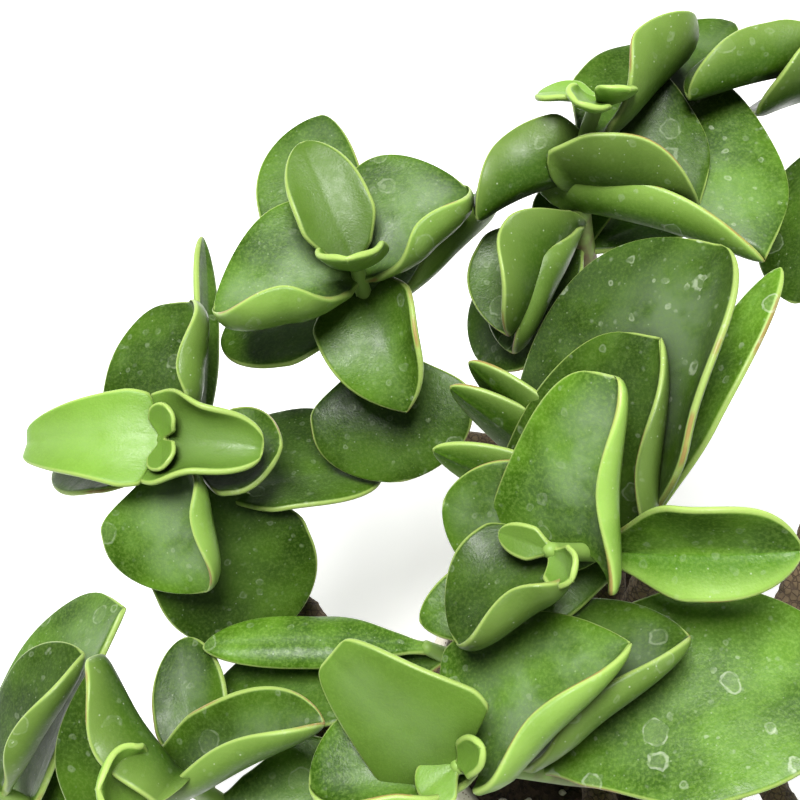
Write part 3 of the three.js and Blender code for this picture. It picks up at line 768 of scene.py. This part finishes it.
def leaf_skin(colours, sizes):
    """Living leaf under a thin coat of wax, grown: satin, with a soft broad shine, a little light let
    through, grey bloom with a painted sheen along the midrib, a pale thick margin that is partly a painted
    highlight, painted shade where leaves close on each other, and the specks and rings of dried drops."""
    material, tree, mm, paint = start_material("leaf_waxed_grown", colours)
    place = add(tree, "Attribute", {}, "Vector", attribute_name="leaf_place")
    along, across, face = add(tree, "SeparateXYZ", {0: place}).node.outputs
    kind = add(tree, "Attribute", {}, "Vector", attribute_name="leaf_kind")
    young, tone_light_and_shade, wax = add(tree, "SeparateXYZ", {0: kind}).node.outputs
    edge = add(tree, "Attribute", {}, "Fac", attribute_name="leaf_edge")
    drips = add(tree, "Attribute", {}, "Fac", attribute_name="leaf_drips")
    clouds = {}
    for name, (period, detail, rough) in LEAF_CLOUDS.items():
        pattern = {"Vector": mm, "Scale": 1 / period, "Detail": detail, "Roughness": rough}
        clouds[name] = add(tree, "TexNoise", pattern)
    old = share_of(tree, (young, 0.5, 0.1))

    # Upper side: soft patches of two greens. Grey bloom with a painted sheen lies along the midrib of a
    # waxy leaf, or all over the waxiest, and fades towards both ends.
    midrib = share_of(tree, (across, 0.85, 0.1))
    all_over = share_of(tree, (wax, 0.45, 0.6))
    bloom_and_sheen_spread = add(tree, "Math", {0: midrib, 1: all_over}, operation="MAXIMUM")
    ends = share_of(tree, (along, 0.05, 0.3), (along, 1.05, 0.75))
    upper = painted(
        tree,
        paint["upper_deep"],
        (paint["upper_green"], (clouds["patches"], 0.28, 0.72)),
        (paint["bloom_and_sheen"], bloom_and_sheen_spread, ends, (clouds["bloom_and_sheen"], 0.3, 0.58, 0.15), wax),
    )
    # Underside: deep green by the midrib, and paler and yellower towards the margin.
    rimward = share_of(tree, (across, 0.25, 1), (clouds["patches"], 0.2, 0.6, 0.6))
    under = painted(tree, paint["under_deep"], (paint["under_pale"], rimward))
    # Both have a fine grain. A leaf's root is paler, and the leaves at a shoot's tip are lime all over.
    skin = painted(
        tree,
        under,
        (upper, (face, -0.3, 0.3)),
        (paint["under_pale"], (clouds["grain"], 0.38, 0.72, 0, 0.24)),
        (paint["young"], (along, 0.12, 0.02), 0.5),
        (paint["young"], young, 0.8),
    )
    # A leaf's lightness: partly its own tone, and partly painted shade on leaves that lie in shade and
    # painted light on leaves that the light falls on.
    lightness = share_of(tree, (tone_light_and_shade, 0, 1, 0.58, 1.32))
    skin = add(tree, "HueSaturation", {"Value": lightness, "Color": skin})
    # The margin is a thin pale line, partly the leaf's own pale edge and partly a painted highlight on its
    # rounded rim, with a red-brown thread on some stretches of older leaves, and specks of dust lie all
    # over.
    width = sizes.margin_width / MM
    cells = add(tree, "TexVoronoi", {"Vector": mm, "Scale": 1 / SPECK_CELL}).node.outputs
    luck = add(tree, "SeparateXYZ", {0: cells["Color"]})
    speck = share_of(tree, (cells["Distance"], 0.14, 0.05), (luck, 0.5, 0.6), old)
    skin = painted(
        tree,
        skin,
        (paint["margin"], (edge, width * 1.4, width * 0.4), 0.6),
        (paint["blush"], (edge, 0.3, 0.12), (clouds["rust"], 0.52, 0.62), old, 0.6),
        (paint["dust"], speck, (face, -0.5, 0.5, 0.5, 0.25)),
    )
    # Dried drops: faint rings and spots, from small ones all over to wide ones.
    wander = add(tree, "TexNoise", {"Vector": mm, "Scale": 1 / 5}, "Color")
    spread = {0: wander, 1: (DROP_WANDER,) * 3, 2: mm}
    shifted = add(tree, "VectorMath", spread, operation="MULTIPLY_ADD")
    broken = share_of(tree, (clouds["breaks"], 0.4, 0.55, 0.3))
    splashed = share_of(tree, drips, (face, -0.9, 0.2, 0.8), old)
    for period, radius, chance, rim, inside in DROPS:
        cells = add(tree, "TexVoronoi", {"Vector": shifted, "Scale": 1 / period}).node.outputs
        size, luck, _ = add(tree, "SeparateXYZ", {0: cells["Color"]}).node.outputs
        reach = add(tree, "Math", {0: size, 1: radius, 2: radius * 0.4}, operation="MULTIPLY_ADD")
        off = add(tree, "Math", {0: cells["Distance"], 1: reach}, operation="SUBTRACT")
        wet = share_of(tree, (luck, 1 - chance, 1.05 - chance), splashed)
        line = DROP_LINE / period
        ring = share_of(tree, (off, -line * 2, -line), (off, line, 0), broken)
        drop = (off, 0, -line * 3)
        skin = painted(tree, skin, (paint["dust"], ring, wet, rim), (paint["dust"], drop, wet, inside))
    # Painted shade: leaves are darker where they close on each other, in the folds and between leaves.
    skin = painted_crevice_shade(tree, skin, 18, 0.2)

    pitted = {0: clouds["pores"], 1: 0.4, 2: clouds["ripple"]}
    height = add(tree, "Math", pitted, operation="MULTIPLY_ADD")
    gloss = {
        "Roughness": share_of(tree, (clouds["polish"], 0.3, 0.7, 0.3, 0.46)),
        "IOR": 1.45,
        "Specular IOR Level": 0.26,
        "Subsurface Weight": 0.12,
        "Subsurface Radius": (0.6, 1.0, 0.25),
        "Subsurface Scale": 2.5 * MM,
    }
    finish_surface(tree, skin, (height, 0.5, 0.35), gloss)
    return material


def stem_skin(colours):
    """Young stem skin, grown: smooth and green at the top, corky and brown in streaks towards the foot."""
    material, tree, mm, paint = start_material("stem_skin_grown", colours)
    place = add(tree, "Attribute", {}, "Vector", attribute_name="leaf_place")
    along = add(tree, "SeparateXYZ", {0: place})
    streaks = add(tree, "TexNoise", {"Vector": mm, "Scale": 1 / 5, "Detail": 4})
    corky = add(tree, "Math", {0: streaks, 1: along}, operation="SUBTRACT")
    brown = add(tree, "MapRange", dict(zip(RANGE, (corky, -0.15, 0.3))))
    colour = painted(tree, paint["under_pale"], (paint["bark"], brown))
    finish_surface(tree, colour, (streaks, 0.6, 0.5), {"Roughness": 0.55})
    return material


def bark_grown(colours):
    """Thin dry bark, grown: rough and grey-brown, with fine cracks about 2 mm apart and paler cork."""
    material, tree, mm, paint = start_material("bark_grown", colours)
    broad = add(tree, "TexNoise", {"Vector": mm, "Scale": 1 / 9, "Detail": 5})
    cracks = add(tree, "TexVoronoi", {"Vector": mm, "Scale": 1 / 2.2}, feature="DISTANCE_TO_EDGE")
    value = add(tree, "MapRange", dict(zip(RANGE, (broad, 0.3, 0.7, 0.55, 1.25))))
    cork = add(tree, "HueSaturation", {"Value": value, "Color": paint["bark"]})
    whole = add(tree, "MapRange", dict(zip(RANGE, (cracks, 0, 0.12))))
    colour = painted(tree, paint["earth"], (cork, whole))
    height = add(tree, "Math", {0: broad, 1: whole}, operation="ADD")
    # Painted shade: the bark is darker where the leaves and other limbs close in over it.
    finish_surface(tree, painted_crevice_shade(tree, colour, 60, 0.12), (height, 0.7, 0.4), {"Roughness": 0.85})
    return material


def potting_mix(colours):
    """Loose potting mix: rough dark crumbs of bark and peat, grain by grain a different brown."""
    material, tree, mm, paint = start_material("potting_mix_loose", colours)
    grains = add(tree, "TexVoronoi", {"Vector": mm, "Scale": 1 / 1.6}).node.outputs
    shade = add(tree, "SeparateXYZ", {0: grains["Color"]})
    value = add(tree, "MapRange", dict(zip(RANGE, (shade, 0, 1, 0.45, 1.7))))
    colour = add(tree, "HueSaturation", {"Value": value, "Color": paint["earth"]})
    relief = (grains["Distance"], 0.8, 0.8)
    # Painted shade: the soil is darker where the stems and leaves close in over it.
    finish_surface(tree, painted_crevice_shade(tree, colour, 90, 0.12), relief, {"Roughness": 0.95})
    return material


def pumice(colours):
    """Crushed pumice in the potting mix: pale, rough and chalky."""
    material, tree, mm, paint = start_material("pumice_crushed", colours)
    pits = add(tree, "TexNoise", {"Vector": mm, "Scale": 1 / 0.9, "Detail": 4})
    value = add(tree, "MapRange", dict(zip(RANGE, (pits, 0.3, 0.7, 0.6, 1))))
    colour = add(tree, "HueSaturation", {"Value": value, "Color": paint["clay"]})
    finish_surface(tree, colour, (pits, 0.8, 0.4), {"Roughness": 0.9})
    return material


def clay_turned(colours):
    """Pale earthenware, turned on a wheel and left unglazed: matt, with faint level rings from the
    potter's rib about 2 mm apart, fine grog specks and a little darkening towards its foot."""
    material, tree, mm, paint = start_material("earthenware_turned", colours)
    height = add(tree, "SeparateXYZ", {0: mm}, "Z")
    rings = add(tree, "TexNoise", {"W": height, "Scale": 1 / 2, "Detail": 3}, noise_dimensions="1D")
    clouds = add(tree, "TexNoise", {"Vector": mm, "Scale": 1 / 22, "Detail": 5})
    grog = add(tree, "TexVoronoi", {"Vector": mm, "Scale": 1 / 1.8})
    value = add(tree, "MapRange", dict(zip(RANGE, (clouds, 0.3, 0.7, 0.86, 1.06))))
    base = add(tree, "HueSaturation", {"Value": value, "Color": paint["clay"]})
    clear = add(tree, "MapRange", dict(zip(RANGE, (grog, 0.12, 0.2))))
    foot_darkening = add(tree, "MapRange", dict(zip(RANGE, (height, 30, 2, 0, 0.3))))
    colour = painted(tree, paint["bark"], (base, clear), (paint["bark"], foot_darkening))
    relief = add(tree, "Math", {0: rings, 1: clouds}, operation="ADD")
    finish_surface(tree, colour, (relief, 0.35, 0.5), {"Roughness": 0.8})
    return material


def settings_of(context):
    return context.scene.cotyledon


def finish_piece(piece, slot, *nodes):
    """Ties a piece to the frame: its body and the solids it stands for. Its finish, slot, is not used."""
    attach(piece, "root")
    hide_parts(*nodes)


# A shoot with no young leaves.
RIPE_SHOOT = "k"
# Leaves by their shoot and row: those with grey bloom and a painted sheen along the midrib, those grey
# with bloom and painted sheen nearly all over, those that drops have dried on most, and those deeper or
# paler than the rest, partly in their own green, with painted shade on leaves in shade and painted light
# on leaves the light falls on.
BLOOM_AND_SHEEN_LEAVES = "a2 a3 a4 a8 b0 b1 b5 b7 c4 c7 c8 c10 d1 d2 d5 e0 e3 e4 f2 f3 g1"
GREY_BLOOM_AND_SHEEN_LEAVES = "d7"
SPLASHED_LEAVES = "c7 d7 d8 e5"
DEEP_AND_SHADED_LEAVES = "a0 a9 b4 b7 b9 b10 b11 c3 c4 c5 c6 c8 c9 c10 c11 d3 d6 d7 d9 d10 f1 f3 g0 h0 h1 h2"
PALE_AND_LIT_LEAVES = "b0 c0 c1 c2 d2 d4 d8 e1 e2 e5 f0 k0"
# The leaf whose right half has the paler underside's colour on both faces: painted light where its upper
# side faces the light.
LIT_PAINTED_LEAF = "d4"
# How far down a shoot leaves are still lime, in millimetres.
YOUNG_REACH = 9


def youth(name, down):
    """How young a leaf is, from 0 to 1: those nearest a shoot's tip are the lime ones."""
    return 0 if name == RIPE_SHOOT else float(smooth(1 - down / YOUNG_REACH))


def leaf_finish(leaf, draw):
    """How light a leaf's green is, from its own tone and from painted shade and painted light, how much
    bloom and painted sheen it has and how many dried drops, each from 0 to 1.
    """
    tone_light_and_shade = 0.3 + 0.4 * draw
    # Besides their own tone, painted shade darkens the deep and shaded leaves and painted light brightens
    # the pale and lit ones.
    if leaf in DEEP_AND_SHADED_LEAVES.split():
        tone_light_and_shade = 0.25 * draw
    if leaf in PALE_AND_LIT_LEAVES.split():
        tone_light_and_shade = 0.75 + 0.25 * draw
    bloom_and_sheen = 0.05
    if leaf in BLOOM_AND_SHEEN_LEAVES.split():
        bloom_and_sheen = 0.4
    if leaf in GREY_BLOOM_AND_SHEEN_LEAVES.split():
        bloom_and_sheen = 0.5
    drops = 1 if leaf in SPLASHED_LEAVES.split() else 0.5
    return tone_light_and_shade, bloom_and_sheen, drops


class COTYLEDON_OT_shoots(bpy.types.Operator):
    """Make the leafy shoots, each a green stem with its leaves"""

    bl_idname = "cotyledon.shoots"
    bl_label = "Leafy shoots"

    STEM_SIDES = 16
    STEM_RINGS = 28
    FIRST_SEED = 41

    def execute(self, context):
        settings = settings_of(context)
        plant = settings.plant
        materials = [leaf_skin(settings.colours, plant), stem_skin(settings.colours)]
        for name, ends in SHOOTS.items():
            pile = Pile()
            curve = Curve(*ends)
            radius = plant.green_stem / MM
            points, faces, shares = tube(curve, radius, SHOOT_TOP, self.STEM_SIDES, self.STEM_RINGS)
            place = np.zeros((len(points), 4))
            place[:, 0] = shares
            pile.add(points, faces, 1, place)
            draw = draws(ord(name) + self.FIRST_SEED)
            for index, row in enumerate(LEAVES.get(name) or grown_leaves(SEEDS[name])):
                leaf = f"{name}{index}"
                at = curve.share(1 - row[0] / curve.length)
                stem = (curve.at(at), curve.slope(at))
                kind = (youth(name, row[0]), *leaf_finish(leaf, draw()))
                wave = (2 + 3 * draw(), draw() * math.tau)
                add_leaf(pile, row, stem, plant.leaf_thickness / MM, kind, wave, leaf == LIT_PAINTED_LEAF)
            finish_piece(pile.make(f"leafy_shoot_{name}", materials), "leaf", f"shoot_{name}")
        return {"FINISHED"}


def woody_lines(green_stem, woody_stem):
    """The centre line and end radii of the trunk, of each limb and of each branch to a shoot."""
    radii = {"trunk": (woody_stem, woody_stem * TRUNK_TAPER), **LIMB_RADII}
    lines = [(Curve(*ends), *radii[name]) for name, ends in BRANCHES.items()]
    for name, (foot, rise, _, _) in SHOOTS.items():
        carrier, go = CARRIED[name]
        _, _, joint, onward = BRANCHES[carrier]
        start = Vector(joint) - unit(onward) * woody_stem * BRANCH_SUNK
        end = Vector(foot) + unit(rise) * FOOT_OVERLAP
        lines.append((Curve(start, go, end, rise), *(green_stem + extra for extra in BRANCH_EXTRA)))
    return lines


class COTYLEDON_OT_woody_stem(bpy.types.Operator):
    """Make the woody stem: trunk, limbs and branches grown together, with ringed bark"""

    bl_idname = "cotyledon.woody_stem"
    bl_label = "Woody stem"

    SIDES = 24
    RINGS = 40
    VOXEL = 1.1
    # Scars' spacing in millimetres and width as a share of it, how high they and the lumps stand, and how
    # far the surface sinks first.
    SCAR_SPACING = 6.5
    SCAR_WIDTH = 0.12
    SCAR_HEIGHT = 0.35
    LUMP_HEIGHT = 0.45
    SINK = 0.3
    SAMPLES = 80

    def execute(self, context):
        settings = settings_of(context)
        plant = settings.plant
        lines = woody_lines(plant.green_stem / MM, plant.woody_stem / MM)
        pile = Pile()
        for curve, thick, thin in lines:
            points, faces, _ = tube(curve, thick, thin, self.SIDES, self.RINGS)
            pile.add(points, faces)
        piece = pile.make("woody_stem_bark", [])
        join = piece.modifiers.new("join", "REMESH")
        join.mode = "VOXEL"
        join.voxel_size = self.VOXEL * MM
        apply_modifiers(context, piece)
        self.roughen(piece.data, lines)
        piece.data.materials.append(bark_grown(settings.colours))
        finish_piece(piece, "bark", "woody_stem")
        return {"FINISHED"}

    def roughen(self, mesh, lines):
        """Moves the surface in and out: old leaf scars as rings, and uneven growth between them."""
        shares = [i / self.SAMPLES for i in range(self.SAMPLES + 1)]
        samples = [(curve.at(at), curve.length * at) for curve, _, _ in lines for at in shares]
        tree = kdtree.KDTree(len(samples))
        for i, (point, _) in enumerate(samples):
            tree.insert(point, i)
        tree.balance()
        normals = [vertex.normal.copy() for vertex in mesh.vertices]
        for vertex, normal in zip(mesh.vertices, normals):
            point = vertex.co / MM
            _, nearest, _ = tree.find(point)
            along = samples[nearest][1] + 1.5 * noise.noise(point / 6)
            scar = math.exp(-((((along / self.SCAR_SPACING) % 1 - 0.5) / self.SCAR_WIDTH) ** 2))
            lumps = noise.fractal(point / 5, 0.9, 2.1, 4)
            vertex.co += normal * ((self.SCAR_HEIGHT * scar + self.LUMP_HEIGHT * lumps - self.SINK) * MM)


def inside_radius(height, rim_radius, z):
    """The radius of the pot's inside at a height."""
    lower = rim_radius * BASE_SHARE - WALL
    upper = rim_radius - WALL
    return lower + (upper - lower) * (z - FLOOR) / (height - FLOOR)


class COTYLEDON_OT_soil(bpy.types.Operator):
    """Make the potting mix, with an uneven top and loose crumbs and pumice on it"""

    bl_idname = "cotyledon.soil"
    bl_label = "Potting mix"

    AROUND = 120
    RINGS = 46
    CRUMBS = 1500
    PALE_SHARE = 0.12
    SEED = 23
    # The width of the soil's lumps and of its heap round the stem, and the height of each.
    LUMP_WIDTH = 9
    HEAP_WIDTH = 30
    LUMP_HEIGHT = 1.4
    HEAP_HEIGHT = 1.2

    def surface(self, x, y, top):
        """The height of the soil: uneven all over, and heaped a little round the stem."""
        heap = math.exp(-(x * x + y * y) / self.HEAP_WIDTH**2)
        lumps = noise.fractal(Vector((x / self.LUMP_WIDTH, y / self.LUMP_WIDTH, 3)), 0.8, 2.1, 4)
        return top + 1.2 + self.LUMP_HEIGHT * lumps + self.HEAP_HEIGHT * heap

    def execute(self, context):
        settings = settings_of(context)
        height = settings.pot.height / MM
        rim = settings.pot.rim_radius / MM
        top = height - SOIL_BELOW_RIM
        edge = inside_radius(height, rim, top) - 0.2
        floor_edge = inside_radius(height, rim, FLOOR) - 0.3
        points = []
        for i in range(self.RINGS + 1):
            ring = circle(edge * i / self.RINGS, 0, self.AROUND)
            points += [(x, y, self.surface(x, y, top)) for x, y, _ in ring]
        points += circle(floor_edge, FLOOR + 0.3, self.AROUND)
        faces = ring_faces(self.RINGS + 2, self.AROUND, inward=True)
        faces.append(tuple(reversed(range(len(points) - self.AROUND, len(points)))))
        pile = Pile()
        pile.add(points, faces)
        self.scatter(pile, edge, top, settings.pot.crumb / MM)
        piece = pile.make("potting_mix_top", [potting_mix(settings.colours), pumice(settings.colours)])
        weld = piece.modifiers.new("weld", "WELD")
        weld.merge_threshold = 0.01 * MM
        finish_piece(piece, "earth", "soil")
        return {"FINISHED"}

    def scatter(self, pile, edge, top, crumb):
        """Lays crumbs on the surface, each an uneven lump sunk by half."""
        ball = bmesh.new()
        bmesh.ops.create_icosphere(ball, subdivisions=1, radius=1)
        corners = [vertex.co.copy() for vertex in ball.verts]
        faces = [[vertex.index for vertex in face.verts] for face in ball.faces]
        ball.free()
        draw = draws(self.SEED)
        for _ in range(self.CRUMBS):
            radius = (edge - crumb / 2) * math.sqrt(draw())
            angle = draw() * math.tau
            x = radius * math.cos(angle)
            y = radius * math.sin(angle)
            size = crumb * (0.12 + 0.38 * draw() ** 2.5)
            stretch = Vector((0.7 + 0.7 * draw(), 0.7 + 0.7 * draw(), 0.5 + 0.4 * draw()))
            turn = Matrix.Rotation(draw() * math.tau, 3, "Z")
            pale = draw() < self.PALE_SHARE
            centre = Vector((x, y, self.surface(x, y, top) + size * 0.15))
            points = []
            for corner in corners:
                rough = 0.75 + 0.5 * draw()
                points.append(centre + turn @ (corner * stretch * (size * rough)))
            pile.add(points, faces, 1 if pale else 0)


class COTYLEDON_OT_pot(bpy.types.Operator):
    """Make the clay pot: a turned tapered wall with a plain band at its rim and drain holes"""

    bl_idname = "cotyledon.pot"
    bl_label = "Clay pot"

    AROUND = 128
    HOLE_SIDES = 32

    def profile(self, height, rim):
        """The outline of the wall as radii and heights, from under the pot round its rim to its floor."""
        base = rim * BASE_SHARE
        band_foot = height * (1 - BAND_SHARE)
        shoulder = rim - BAND_STEP
        lip = WALL / 2
        points = [(2, 0), (base * 0.5, 0), (base - 3, 0), (base - 1.2, 0.4), (base - 0.3, 1.4)]
        for i in range(1, 24):
            z = 3 + (band_foot - 6) * i / 24
            wobble = 0.18 * noise.noise(Vector((z / 5, 0, 7)))
            share = (z - 1.5) / (band_foot - 2.5)
            points.append((base + (shoulder - 1 - base) * share + wobble, z))
        points += [(shoulder - 1.0, band_foot - 1.6), (shoulder - 0.2, band_foot - 0.8)]
        points += [(rim - 0.7, band_foot - 0.1), (rim - 0.1, band_foot + 1.2)]
        for i in range(1, 6):
            z = band_foot + 1.2 + (height - band_foot - 4) * i / 5
            points.append((rim - 0.08 - 0.08 * noise.noise(Vector((z / 4, 0, 2))), z))
        for i in range(7):
            angle = i / 6 * math.pi
            points.append((rim - lip + lip * math.cos(angle), height - lip * 0.8 * (1 - math.sin(angle))))
        for i in range(1, 12):
            z = height - 3 - (height - 3 - FLOOR) * i / 11
            points.append((inside_radius(height, rim, z), z))
        return [*points, (inside_radius(height, rim, FLOOR) - 3, FLOOR), (2, FLOOR)]

    def execute(self, context):
        settings = settings_of(context)
        height = settings.pot.height / MM
        rim = settings.pot.rim_radius / MM
        profile = self.profile(height, rim)
        points = [point for radius, z in profile for point in circle(radius, z, self.AROUND)]
        faces = ring_faces(len(profile), self.AROUND)
        faces.append(tuple(reversed(range(self.AROUND))))
        faces.append(tuple(range(len(points) - self.AROUND, len(points))))
        pile = Pile()
        pile.add(points, faces)
        piece = pile.make("clay_pot_turned", [clay_turned(settings.colours)])
        self.drill(context, piece, rim * BASE_SHARE)
        finish_piece(piece, "clay", "pot")
        return {"FINISHED"}

    def drill(self, context, piece, base):
        """Cuts the drain holes through the floor."""
        cutter = bmesh.new()
        for i in range(HOLE_COUNT):
            angle = (i + 0.5) / HOLE_COUNT * math.tau
            out = base * HOLE_RING_SHARE
            place = Vector((math.cos(angle) * out, math.sin(angle) * out, FLOOR / 2)) * MM
            bmesh.ops.create_cone(
                cutter,
                cap_ends=True,
                segments=self.HOLE_SIDES,
                radius1=HOLE_RADIUS * MM,
                radius2=HOLE_RADIUS * MM,
                depth=FLOOR * 3 * MM,
                matrix=Matrix.Translation(place),
            )
        mesh = bpy.data.meshes.new("drain_holes")
        cutter.to_mesh(mesh)
        cutter.free()
        tool = bpy.data.objects.new("drain_holes", mesh)
        context.scene.collection.objects.link(tool)
        cut = piece.modifiers.new("drain holes", "BOOLEAN")
        cut.operation = "DIFFERENCE"
        cut.solver = "EXACT"
        cut.object = tool
        apply_modifiers(context, piece)
        bpy.data.objects.remove(tool)
        bpy.data.meshes.remove(mesh)


# Where the photograph was taken from: in millimetres, and in degrees above level.
CAMERA_TARGET = (-75, 80, 230)
CAMERA_DISTANCE = 347
CAMERA_ELEVATION = 70
LENS = 50
SENSOR_WIDTH = 36


class COTYLEDON_OT_stage(bpy.types.Operator):
    """Make the plain pale floor, the soft studio lights and the camera"""

    bl_idname = "cotyledon.stage"
    bl_label = "Stage"

    FLOOR_REACH = 3000
    # Each light has its place and target in metres, its width and its power.
    LIGHTS = (
        ("overhead", (-0.25, 0.35, 1.7), (-0.05, 0.05, 0.2), 0.8, 47),
        ("fill", (0.9, -0.9, 1.1), (0, 0, 0.2), 1.2, 3),
    )

    def execute(self, context):
        self.floor(context)
        self.lights(context)
        self.camera(context)
        return {"FINISHED"}

    def floor(self, context):
        """A floor of white acrylic lit from below, cast flat: matt, and pale all over."""
        pile = Pile()
        far = self.FLOOR_REACH
        pile.add([(-far, -far, 0), (far, -far, 0), (far, far, 0), (-far, far, 0)], [(0, 1, 2, 3)])
        material = bpy.data.materials.new("floor_lit_acrylic")
        material.use_nodes = True
        look = {
            "Base Color": (*linear("#F4F4F2"), 1),
            "Emission Color": (*linear("#FFFFFF"), 1),
            "Emission Strength": 0.55,
            "Roughness": 0.9,
        }
        connect(material.node_tree, material.node_tree.nodes["Principled BSDF"], look)
        pile.make("floor", [material])

    def lights(self, context):
        world = bpy.data.worlds.new("pale_room")
        world.use_nodes = True
        tree = world.node_tree
        connect(tree, tree.nodes["Background"], {"Color": (*linear("#F1F4F8"), 1), "Strength": 0.15})
        context.scene.world = world
        for name, place, target, size, power in self.LIGHTS:
            data = bpy.data.lights.new(name, "AREA")
            data.shape = "DISK"
            data.size = size
            data.energy = power
            light = bpy.data.objects.new(name, data)
            light.location = place
            aim = Vector(target) - Vector(place)
            light.rotation_euler = aim.to_track_quat("-Z", "Y").to_euler()
            context.scene.collection.objects.link(light)

    def camera(self, context):
        data = bpy.data.cameras.new("photo_camera")
        data.lens = LENS
        data.sensor_width = SENSOR_WIDTH
        data.clip_start = 0.01
        camera = bpy.data.objects.new("photo_camera", data)
        tilt = math.radians(CAMERA_ELEVATION)
        target = Vector(CAMERA_TARGET) * MM
        away = Vector((0, -math.cos(tilt), math.sin(tilt)))
        camera.location = target + away * (CAMERA_DISTANCE * MM)
        camera.rotation_euler = (-away).to_track_quat("-Z", "Y").to_euler()
        context.scene.collection.objects.link(camera)
        context.scene.camera = camera
        context.scene.view_settings.view_transform = "Standard"


class COTYLEDON_PT_panel(bpy.types.Panel):
    """Sizes and colours of the potted cotyledon, and a button for each of its pieces"""

    bl_idname = "COTYLEDON_PT_panel"
    bl_label = "Potted cotyledon"
    bl_space_type = "VIEW_3D"
    bl_region_type = "UI"
    bl_category = "Cotyledon"

    def draw(self, context):
        settings = settings_of(context)
        for group in (settings.pot, settings.plant, settings.colours):
            box = self.layout.box()
            for name in group.__annotations__:
                box.prop(group, name)
        for operator in OPERATORS:
            self.layout.operator(operator.bl_idname)


OPERATORS = (
    COTYLEDON_OT_pot,
    COTYLEDON_OT_soil,
    COTYLEDON_OT_woody_stem,
    COTYLEDON_OT_shoots,
    COTYLEDON_OT_stage,
)
CLASSES = (PotSizes, PlantSizes, PlantColours, CotyledonSettings, *OPERATORS, COTYLEDON_PT_panel)


def register():
    for cls in CLASSES:
        bpy.utils.register_class(cls)
    bpy.types.Scene.cotyledon = bpy.props.PointerProperty(
        type=CotyledonSettings, name="Cotyledon", description="The plant's sizes and colours"
    )


def unregister():
    del bpy.types.Scene.cotyledon
    for cls in reversed(CLASSES):
        bpy.utils.unregister_class(cls)


def main():
    """Makes every piece in order."""
    register()
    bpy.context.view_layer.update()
    for operator in OPERATORS:
        group, name = operator.bl_idname.split(".")
        getattr(getattr(bpy.ops, group), name)()


if __name__ == "__main__":
    main()
